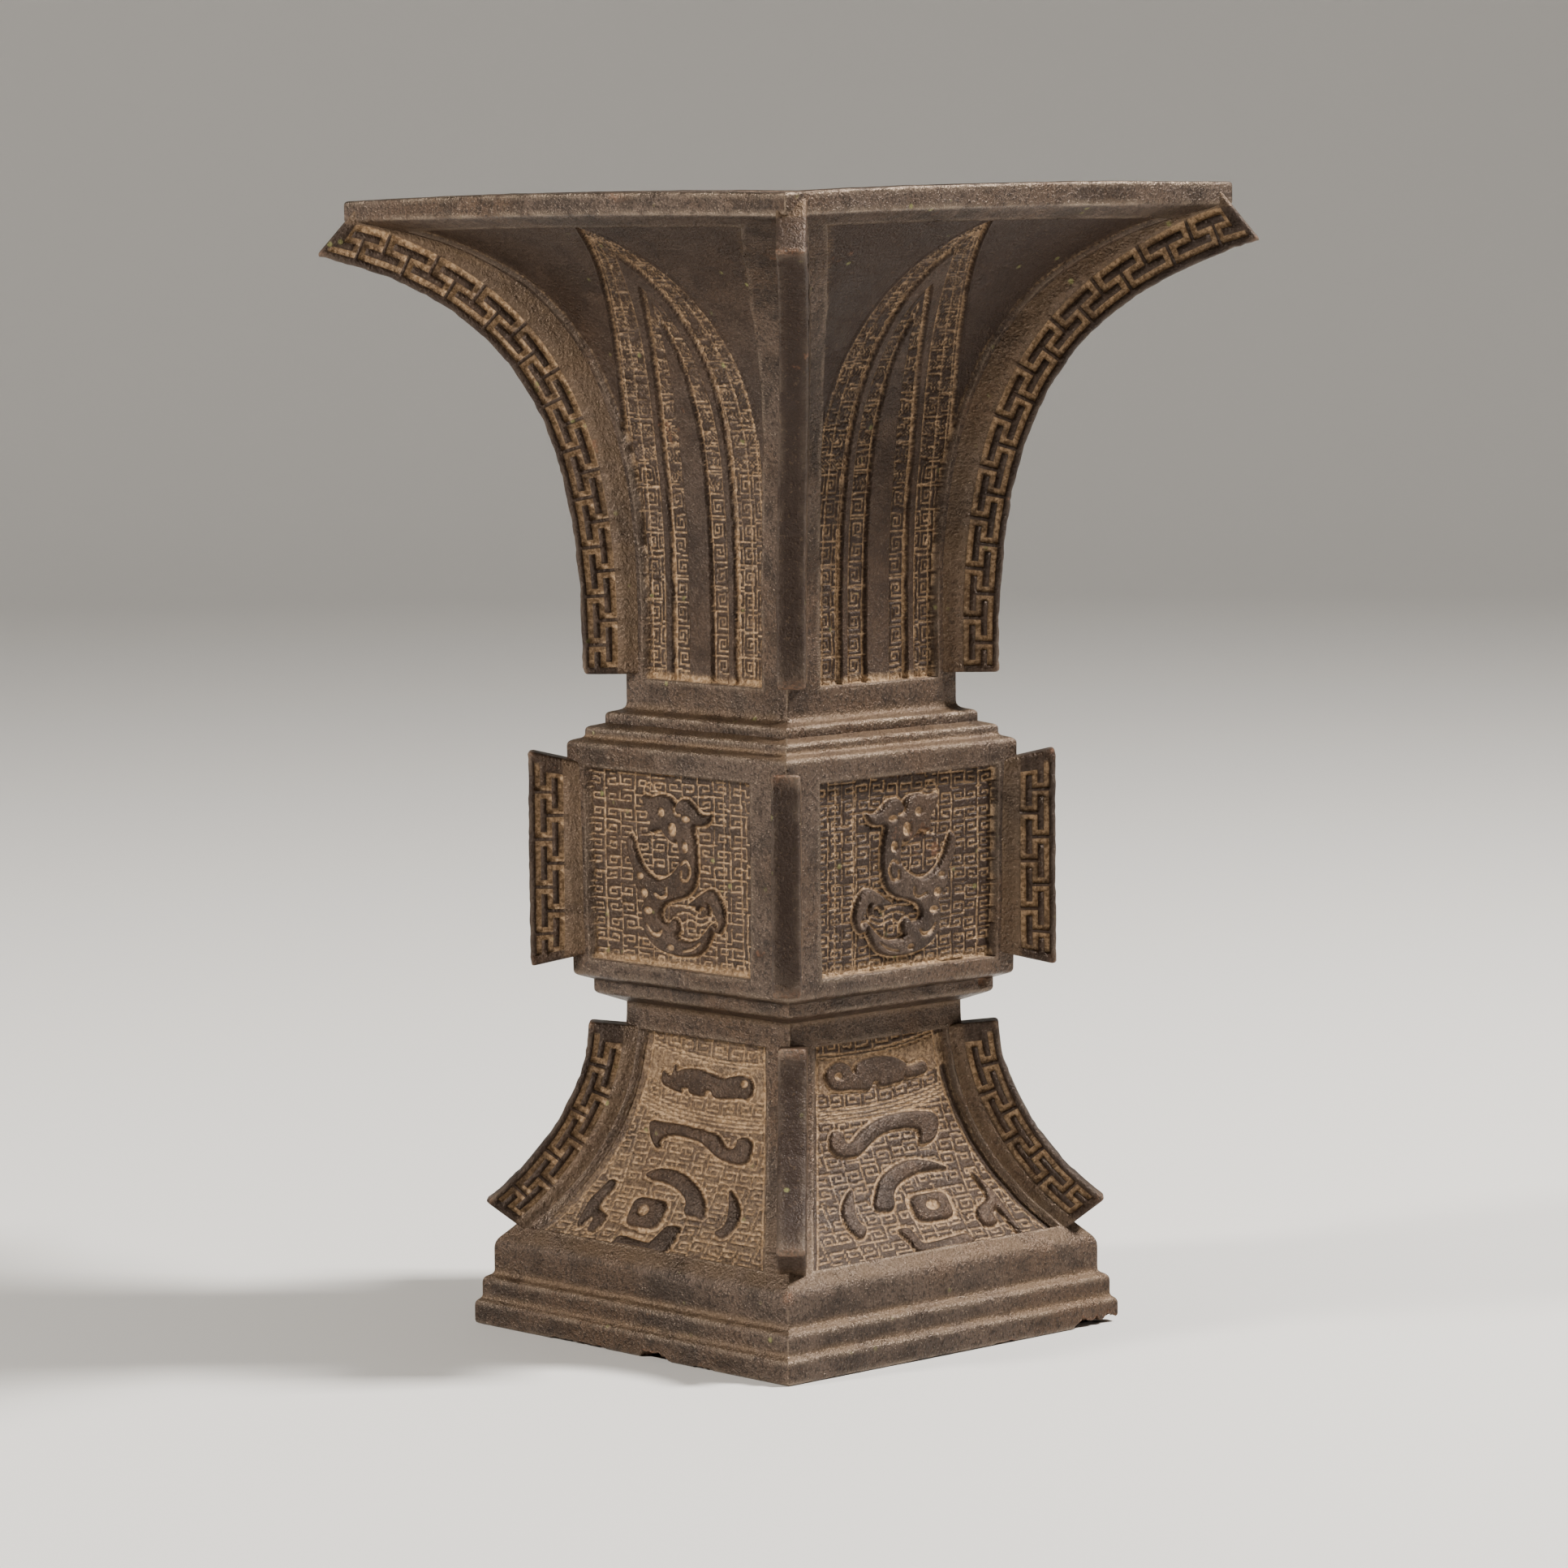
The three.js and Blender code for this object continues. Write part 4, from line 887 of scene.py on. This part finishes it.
def flange_sheet(flange, seed):
    edge = flange["edge"]
    length = np.linalg.norm(np.diff(edge, axis=0), axis=1).sum()
    upright, lengthwise = fret_lines(length)
    runs, insets = flange_rows(length, upright)
    points, inward = edge_stations(edge, runs)
    share = runs / length
    for end, turn in (("first", 1 - smooth(0.0, END_TURN, runs)), ("last", smooth(0.0, END_TURN, runs - length + END_TURN))):
        direction = np.array(flange[end]) / np.linalg.norm(flange[end])
        inward = inward * (1 - turn[:, None]) + direction * turn[:, None]
    inward /= np.linalg.norm(inward, axis=1)[:, None]
    root = root_distance(points, inward)
    growth = 1.0 + flange["growth"] * share

    band = [FRET_MARGIN, FRET_MARGIN + FRET_WIDTH / 2, FRET_MARGIN + FRET_WIDTH]
    side_stops = stops_between(band, FLANGE_FRONT, FRET_MARGIN + FRET_WIDTH + FRET_LINE / 2 + 0.25, 1.3)
    across = side_stops[None, :] * growth[:, None]
    tail = across[:, -1:] + (np.maximum(root - across[:, -1], 0.3))[:, None] * np.array([0.33, 0.66, 1.0])
    side = np.concatenate([across, tail], axis=1)
    arc = np.radians([70.0, 45.0, 20.0])
    front_across = FLANGE_FRONT * (1 - np.sin(np.radians(90) - arc))
    front_half = FLANGE_HALF - FLANGE_FRONT + FLANGE_FRONT * np.cos(np.radians(90) - arc)
    flat = np.linspace(FLANGE_HALF - FLANGE_FRONT, FRET_WALL - FLANGE_HALF + FLANGE_FRONT, 5)[:-1]
    flat = np.r_[flat, FLANGE_FRONT - FLANGE_HALF]

    count = len(runs)
    blank = np.zeros((count, 1))
    across = np.concatenate([
        side[:, ::-1], blank + front_across[::-1][None, :] * 0 + np.sort(front_across)[::-1][None, :],
        blank + 0 * flat[None, :], blank + np.sort(front_across)[None, :], side], axis=1)
    half = np.concatenate([
        0 * side + FLANGE_HALF, blank + np.sort(front_half)[::-1][None, :],
        blank + flat[None, :], blank - np.sort(front_half)[None, :], 0 * side - FLANGE_HALF], axis=1)

    place_s = runs[:, None] + 0 * across
    place_v = (across / growth[:, None] - FRET_MARGIN) / FRET_WIDTH
    distance = np.full(across.shape, 9.0)
    for s, low, high in upright:
        gap = np.maximum(np.maximum(low - place_v, place_v - high), 0.0) * FRET_WIDTH
        distance = np.minimum(distance, np.maximum(np.abs(place_s - s), gap))
    for start, end, v in lengthwise:
        gap = np.maximum(np.maximum(start - place_s, place_s - end), 0.0)
        distance = np.minimum(distance, np.maximum(np.abs(place_v - v) * FRET_WIDTH, gap))
    on_side = (np.abs(half) > FLANGE_HALF - 0.01) * 1.0
    fret = np.clip((FRET_LINE / 2 + FRET_WALL / 2 - distance) / FRET_WALL, 0.0, 1.0) * on_side

    worn = flange["wear"] * (0.35 * noise(runs / 3.7, runs * 0, seed) + 0.25 * noise(runs / 1.3, runs * 0, seed + 1))
    ends_worn = np.exp(-np.minimum(runs, length - runs) / 2.0) * 0.5 * noise(runs * 1.1, runs * 0, seed + 2)
    across = across + np.clip(worn + ends_worn, -0.1, 0.9)[:, None] * np.exp(-across / 1.5)
    depth = FRET_DEPTH * fret + 0.12 * noise(place_s / 6.0, across / 6.0 + 9 * np.sign(half), seed + 3) * on_side
    half = np.sign(half) * np.maximum(np.abs(half) - depth, 0.0)
    inset = insets[:, None]
    half = np.sign(half) * np.maximum(np.abs(half) - inset, 0.0)
    across = across + np.minimum(inset, FLANGE_HALF) * np.exp(-across / 1.2) * (inset < 50) + (
        (inset > 50) * np.exp(-across / 1.2) * FLANGE_HALF * 0.5)

    reach = points[:, :1] + inward[:, :1] * across
    height = points[:, 1:] + inward[:, 1:] * across
    front = 1.0 - smooth(0.8, 1.8, across)
    tips = np.exp(-np.minimum(runs, length - runs) / 3.0)[:, None] + 0 * across
    rim = line_mark(across - FLANGE_FRONT * 0.5, 1.2) * (np.abs(half) > FLANGE_HALF * 0.6)
    inner_line = (FRET_MARGIN + FRET_WIDTH + FRET_LINE / 2) * growth[:, None]
    blocks = 0.45 * on_side * (1.0 - fret) * (1.0 - smooth(-0.3, 0.3, across - inner_line))
    margin = 0.5 * on_side * smooth(-0.3, 0.3, across - inner_line)
    fillet = smooth(0.0, 1.0, 1.0 - np.abs(root[:, None] - 1.6 - across) / 1.6) * on_side
    return {
        "reach": reach, "half": half, "z": height,
        "deposit": np.clip(0.72 * fret + 0.3 * fillet, 0, 1),
        "dark": np.maximum(front, blocks),
        "ledge": margin,
        # Rubbed metal along the front edges and tips, also a painted highlight there
        "wear": np.clip(0.15 * rim + 0.4 * tips * front, 0, 1),
        "bare": 0.6 * np.clip(tips - 0.35, 0, 1) * front,
    }


CORNERS = {"near": -45.0, "right": 45.0, "far": 135.0, "left": 225.0}
FLANGE_SHIFTS = {("neck", "near"): -1.2, ("foot", "near"): -0.7}


def flange_piece(kind, corner, seed):
    sheet = flange_sheet(flange_curves()[kind], seed)
    sheet["half"] = sheet["half"] + FLANGE_SHIFTS.get((kind, corner), 0.0)
    turn = math.radians(CORNERS[corner])
    x = sheet["reach"] * math.cos(turn) + sheet["half"] * math.sin(turn)
    y = sheet["reach"] * math.sin(turn) - sheet["half"] * math.cos(turn)
    points = warped(np.column_stack([x.ravel(), y.ravel(), sheet["z"].ravel()]))
    rows, columns = sheet["reach"].shape
    marks = {name: sheet[name].ravel() for name in ("deposit", "dark", "ledge", "wear", "bare")}
    quads = grid_quads(rows, columns, True)
    return finish_piece(mesh_object(f"{kind}_flange_{corner}", points, quads, marks))


# Inside of the vessel and hollow of the foot
INSIDE_COLUMNS = 32
INSIDE_SPACING = 2.4


def inside_profile():
    wall = NECK_CURVE.copy()
    along = np.gradient(wall, axis=0)
    along /= np.linalg.norm(along, axis=1)[:, None]
    wall = wall + NECK_WALL * np.column_stack([-along[:, 1], along[:, 0]])
    wall = wall[wall[:, 1] < RIM_TOP - 2.4][::-1]
    return filleted([
        (MOUTH_HALF - 1.9, RIM_TOP, 0),
        (MOUTH_HALF - NECK_WALL, RIM_TOP, 0.8),
    ] + curve_corners(wall) + [
        (NECK_HALF - NECK_WALL, NECK_BOTTOM, 3.0),
        (BLOCK_BOTTOM_HALF - BELLY_WALL, BLOCK_TOP - 5.0, 3.0),
        (BLOCK_BOTTOM_HALF - BELLY_WALL, BELLY_FLOOR, 3.0),
        (0.5, BELLY_FLOOR, 0),
    ])


def foot_hollow_profile():
    along = np.gradient(FOOT_CURVE, axis=0)
    along /= np.linalg.norm(along, axis=1)[:, None]
    wall = FOOT_CURVE + FOOT_WALL * np.column_stack([-along[:, 1], along[:, 0]])
    wall = wall[(wall[:, 1] > UPPER_STEP_TOP) & (wall[:, 1] < FOOT_ROOF - 3)]
    return filleted([
        (RING_HALF - 2.2, 0.0, 0),
        (RING_HALF - RING_WALL, 0.0, 0.8),
        (RING_HALF - RING_WALL, RING_TOP, 1.0),
        (UPPER_STEP_HALF - RING_WALL, LOWER_STEP_TOP, 1.5),
    ] + curve_corners(wall) + [
        (FOOT_NECK_HALF - FOOT_WALL, FOOT_ROOF, 2.0),
        (0.5, FOOT_ROOF, 0),
    ])


def hollow_piece(name, profile, seed):
    rows = rows_along(profile, lambda height: INSIDE_SPACING)
    share = np.linspace(-1.0, 1.0, INSIDE_COLUMNS + 1)[None, :]
    half = rows["half"][:, None]
    u = share * half
    run = rows["run"][:, None] + 0 * u
    edge = 1.0 - share ** 4
    level = (0.22 * noise(u / 9.0, run / 9.0, seed) + 0.08 * noise(u / 2.6, run / 2.6, seed + 1)) * edge
    level = level * smooth(1.0, 4.0, run)
    out = half - level * rows["out"][:, None]
    z = rows["z"][:, None] - level * rows["up"][:, None]
    points, quads, marks = [], [], {"ledge": [], "dark": []}
    for number, side in enumerate(FACES):
        x, y = place(side, u, out)
        points.append(np.column_stack([x.ravel(), y.ravel(), z.ravel()]))
        quads.append(grid_quads(*u.shape, side in ("right", "left")) + number * u.size)
        marks["ledge"].append((0.35 * smooth(20.0, 60.0, run)).ravel())
        # Painted shade: darker further in from the opening
        marks["dark"].append((0.5 * smooth(10.0, 60.0, run)).ravel())
    points = warped(np.vstack(points))
    marks = {mark: np.concatenate(values) for mark, values in marks.items()}
    return finish_piece(mesh_object(name, points, np.vstack(quads), marks))


# Materials
def add_node(tree, kind, **values):
    node = tree.nodes.new(kind)
    for name, value in values.items():
        if hasattr(node, name):
            setattr(node, name, value)
        else:
            node.inputs[name.replace("_", " ")].default_value = value
    return node


def noise_of(tree, place_, scale, detail=4.0, roughness=0.6):
    node = add_node(tree, "ShaderNodeTexNoise", Scale=scale, Detail=detail, Roughness=roughness)
    tree.links.new(place_, node.inputs["Vector"])
    return node.outputs["Fac"]


def ranged(tree, value, low, high, to_low=0.0, to_high=1.0):
    node = add_node(tree, "ShaderNodeMapRange")
    node.interpolation_type = "SMOOTHSTEP"
    for name, number in (("From Min", low), ("From Max", high), ("To Min", to_low), ("To Max", to_high)):
        node.inputs[name].default_value = number
    tree.links.new(value, node.inputs["Value"])
    return node.outputs["Result"]


def maths(tree, operation, a, b):
    node = add_node(tree, "ShaderNodeMath", operation=operation)
    for socket, value in zip(node.inputs, (a, b)):
        if isinstance(value, (int, float)):
            socket.default_value = value
        else:
            tree.links.new(value, socket)
    return node.outputs[0]


def mixed(tree, share, a, b, blend="MIX"):
    node = add_node(tree, "ShaderNodeMix", data_type="RGBA", blend_type=blend)
    sockets = {"Factor": node.inputs[0], "A": node.inputs[6], "B": node.inputs[7]}
    for name, value in (("Factor", share), ("A", a), ("B", b)):
        if isinstance(value, (int, float)):
            sockets[name].default_value = value
        elif isinstance(value, tuple):
            sockets[name].default_value = (*value, 1.0)
        else:
            tree.links.new(value, sockets[name])
    return node.outputs[2]


def mark_of(tree, name):
    node = add_node(tree, "ShaderNodeAttribute", attribute_name=name)
    return node.outputs["Fac"]


PATINA_DARK = (0.016, 0.010, 0.007)
PATINA_WARM = (0.078, 0.047, 0.029)
PATINA_GREY = (0.083, 0.057, 0.042)
DEPOSIT = (0.22, 0.135, 0.068)
DEPOSIT_PALE = (0.42, 0.28, 0.16)
DUST = (0.20, 0.13, 0.075)
WORN_METAL_AND_HIGHLIGHT = (0.30, 0.23, 0.17)
COPPER = (0.22, 0.10, 0.05)
GREEN = (0.20, 0.20, 0.07)
BLACK_PATINA_AND_SHADE = (0.016, 0.006, 0.002)
SPECULAR = 0.35


def bronze_material():
    material = bpy.data.materials.new("aged_bronze")
    material.use_nodes = True
    tree = material.node_tree
    shader = tree.nodes["Principled BSDF"]
    shader.inputs["Specular IOR Level"].default_value = SPECULAR
    place_ = add_node(tree, "ShaderNodeTexCoord").outputs["Object"]
    deposit, ledge, wear, dark, bare = (mark_of(tree, m) for m in ("deposit", "ledge", "wear", "dark", "bare"))

    clouds = noise_of(tree, place_, 26.0, 3.0)
    mottle = noise_of(tree, place_, 150.0, 4.0)
    grain = noise_of(tree, place_, 1150.0, 3.0, 0.7)
    fine = noise_of(tree, place_, 1900.0, 2.0, 0.6)

    patches = noise_of(tree, place_, 55.0, 5.0, 0.65)
    color = mixed(tree, ranged(tree, clouds, 0.38, 0.62), PATINA_WARM, PATINA_GREY)
    color = mixed(tree, ranged(tree, patches, 0.50, 0.60, 0.0, 0.5), color, PATINA_DARK)
    color = mixed(tree, ranged(tree, mottle, 0.42, 0.70, 0.0, 0.55), color, PATINA_DARK)
    color = mixed(tree, ranged(tree, grain, 0.49, 0.62, 0.0, 0.75), color, PATINA_DARK)
    # Painted glints: pale metal specks from the fine noise
    color = mixed(tree, ranged(tree, fine, 0.60, 0.70, 0.0, 0.40), color, WORN_METAL_AND_HIGHLIGHT)
    # Near-black where the dark mark lies: painted shade on panel and neck grounds, spandrels and hollows; a darker tone
    # on flange fronts, fret blocks and raised figures
    color = mixed(tree, maths(tree, "MULTIPLY", dark, 0.92), color, BLACK_PATINA_AND_SHADE)
    dark_specks = maths(tree, "MULTIPLY", ranged(tree, grain, 0.58, 0.66), maths(tree, "MULTIPLY", dark, 0.2))
    color = mixed(tree, dark_specks, color, DUST)

    film = maths(tree, "MULTIPLY", ranged(tree, mottle, 0.30, 0.62, 0.35, 1.0), ledge)
    color = mixed(tree, maths(tree, "MULTIPLY", film, 0.62), color, DUST)
    fill = maths(tree, "MULTIPLY", deposit, ranged(tree, mottle, 0.28, 0.60, 0.55, 1.0))
    speckle = maths(tree, "MULTIPLY", maths(tree, "SUBTRACT", grain, 0.5), 0.6)
    fill = ranged(tree, maths(tree, "ADD", fill, speckle), 0.12, 0.85)
    earth = mixed(tree, ranged(tree, grain, 0.40, 0.62), DEPOSIT, DEPOSIT_PALE)
    color = mixed(tree, fill, color, earth)

    copper = maths(tree, "MULTIPLY", ranged(tree, noise_of(tree, place_, 75.0, 5.0, 0.7), 0.66, 0.72),
                   maths(tree, "ADD", 0.35, wear))
    copper = maths(tree, "MAXIMUM", copper, maths(tree, "MULTIPLY", bare, ranged(tree, grain, 0.40, 0.55)))
    color = mixed(tree, maths(tree, "MINIMUM", copper, 0.8), color, COPPER)
    specks = add_node(tree, "ShaderNodeTexVoronoi", Scale=190.0)
    tree.links.new(place_, specks.inputs["Vector"])
    green = maths(tree, "MULTIPLY", ranged(tree, specks.outputs["Distance"], 0.16, 0.06),
                  ranged(tree, noise_of(tree, place_, 60.0, 2.0), 0.54, 0.62))
    color = mixed(tree, maths(tree, "MULTIPLY", green, 0.7), color, GREEN)
    # Rubbed metal on edges and tips, also painted there as an edge highlight
    polish_and_highlight = maths(tree, "MULTIPLY", wear, ranged(tree, mottle, 0.35, 0.62))
    color = mixed(tree, maths(tree, "MULTIPLY", polish_and_highlight, 0.75), color, WORN_METAL_AND_HIGHLIGHT)
    tree.links.new(color, shader.inputs["Base Color"])

    shine = maths(tree, "ADD", 0.55, maths(tree, "MULTIPLY", polish_and_highlight, 0.35))
    metal = maths(tree, "MULTIPLY", maths(tree, "SUBTRACT", 1.0, fill), shine)
    metal = maths(tree, "MULTIPLY", metal, maths(tree, "SUBTRACT", 1.0, maths(tree, "MULTIPLY", dark, 0.5)))
    tree.links.new(metal, shader.inputs["Metallic"])
    rough = ranged(tree, mottle, 0.3, 0.7, 0.36, 0.54)
    rough = maths(tree, "SUBTRACT", rough, maths(tree, "MULTIPLY", polish_and_highlight, 0.22))
    rough = maths(tree, "SUBTRACT", rough, maths(tree, "MULTIPLY", ranged(tree, patches, 0.48, 0.60), 0.10))
    rough = maths(tree, "ADD", rough, maths(tree, "MULTIPLY", dark, 0.10))
    rough = maths(tree, "ADD", rough, maths(tree, "MULTIPLY", fill, 0.30))
    tree.links.new(rough, shader.inputs["Roughness"])

    bumps = maths(tree, "ADD", maths(tree, "MULTIPLY", grain, 0.7), maths(tree, "MULTIPLY", fine, 0.35))
    bumps = maths(tree, "ADD", bumps, maths(tree, "MULTIPLY", mottle, 0.9))
    bump = add_node(tree, "ShaderNodeBump", Strength=1.0, Distance=0.0006)
    tree.links.new(bumps, bump.inputs["Height"])
    tree.links.new(bump.outputs["Normal"], shader.inputs["Normal"])
    return material


def floor_material():
    material = bpy.data.materials.new("pale_floor")
    material.use_nodes = True
    shader = material.node_tree.nodes["Principled BSDF"]
    shader.inputs["Base Color"].default_value = (0.70, 0.69, 0.67, 1.0)
    shader.inputs["Roughness"].default_value = 0.75
    return material


# Camera, floor and light
CAMERA_TURN = 46.372
CAMERA_DISTANCE = 1351.084
CAMERA_HEIGHT = 262.71
CAMERA_PITCH = -5.821
CAMERA_YAW = 0.076
CAMERA_ROLL = -0.455
CAMERA_LENS = 136.18


def add_camera():
    turn = math.radians(CAMERA_TURN)
    spot = Vector((CAMERA_DISTANCE * math.sin(turn), -CAMERA_DISTANCE * math.cos(turn), CAMERA_HEIGHT)) * MM
    heading = Matrix.Rotation(turn + math.radians(CAMERA_YAW), 4, "Z")
    pitch = Matrix.Rotation(math.radians(90.0 + CAMERA_PITCH), 4, "X")
    roll = Matrix.Rotation(math.radians(CAMERA_ROLL), 4, "Z")
    data = bpy.data.cameras.new("camera")
    data.lens = CAMERA_LENS
    data.sensor_width = 36.0
    data.clip_end = 100.0
    camera = bpy.data.objects.new("camera", data)
    camera.matrix_world = Matrix.Translation(spot) @ heading @ pitch @ roll
    bpy.context.collection.objects.link(camera)
    bpy.context.scene.camera = camera


def add_light(name, spot, aim, size, power, color):
    data = bpy.data.lights.new(name, "AREA")
    data.shape = "RECTANGLE"
    data.size, data.size_y = size
    data.energy = power
    data.color = color
    lamp = bpy.data.objects.new(name, data)
    lamp.location = spot
    lamp.rotation_euler = (Vector(aim) - Vector(spot)).to_track_quat("-Z", "Y").to_euler()
    bpy.context.collection.objects.link(lamp)


FLOOR_RADIUS = 2.4
FLOOR_BEND = 1.2
WALL_TOP = 3.6
FLOOR_SIDES = 96


def add_floor():
    """Round pale floor that bends up into a wall all round, so that no horizon shows."""
    bend = np.radians(np.linspace(0, 90, 13))
    profile = [(0.001, 0.0)]
    profile += [(FLOOR_RADIUS + FLOOR_BEND * math.sin(a), FLOOR_BEND * (1 - math.cos(a))) for a in bend]
    profile.append((FLOOR_RADIUS + FLOOR_BEND, WALL_TOP))
    around = np.linspace(0, 2 * np.pi, FLOOR_SIDES + 1)
    points = [(r * math.cos(a), r * math.sin(a), z) for r, z in profile for a in around]
    mesh = bpy.data.meshes.new("floor")
    mesh.from_pydata(points, [], grid_quads(len(profile), FLOOR_SIDES + 1, False)[:, ::-1].tolist())
    mesh.shade_smooth()
    floor = bpy.data.objects.new("floor", mesh)
    mesh.materials.append(floor_material())
    bpy.context.collection.objects.link(floor)


def add_world():
    world = bpy.data.worlds.new("studio")
    world.use_nodes = True
    back = world.node_tree.nodes["Background"]
    back.inputs["Color"].default_value = (0.80, 0.79, 0.78, 1.0)
    back.inputs["Strength"].default_value = 0.08
    bpy.context.scene.world = world


add_camera()
add_floor()
add_world()
add_light("key", (-0.5, -1.45, 0.85), (0, 0, 0.12), (0.25, 0.35), 35, (1.0, 0.95, 0.88))
add_light("side", (0.70, 0.76, 1.38), (0, 0, 0.08), (0.22, 0.3), 72, (1.0, 0.96, 0.91))
add_light("top", (0.1, 0.2, 1.7), (0, 0, 0.13), (0.9, 0.9), 4, (1.0, 0.97, 0.93))

bronze = bronze_material()
for side_name in FACES:
    for zone in ZONES:
        face_piece(side_name, zone)
for corner_number, corner_name in enumerate(CORNERS):
    for kind_number, kind_name in enumerate(flange_curves()):
        flange_piece(kind_name, corner_name, 100 + 10 * corner_number + kind_number)
hollow_piece("vessel_inside", inside_profile(), 201)
hollow_piece("foot_hollow", foot_hollow_profile(), 211)
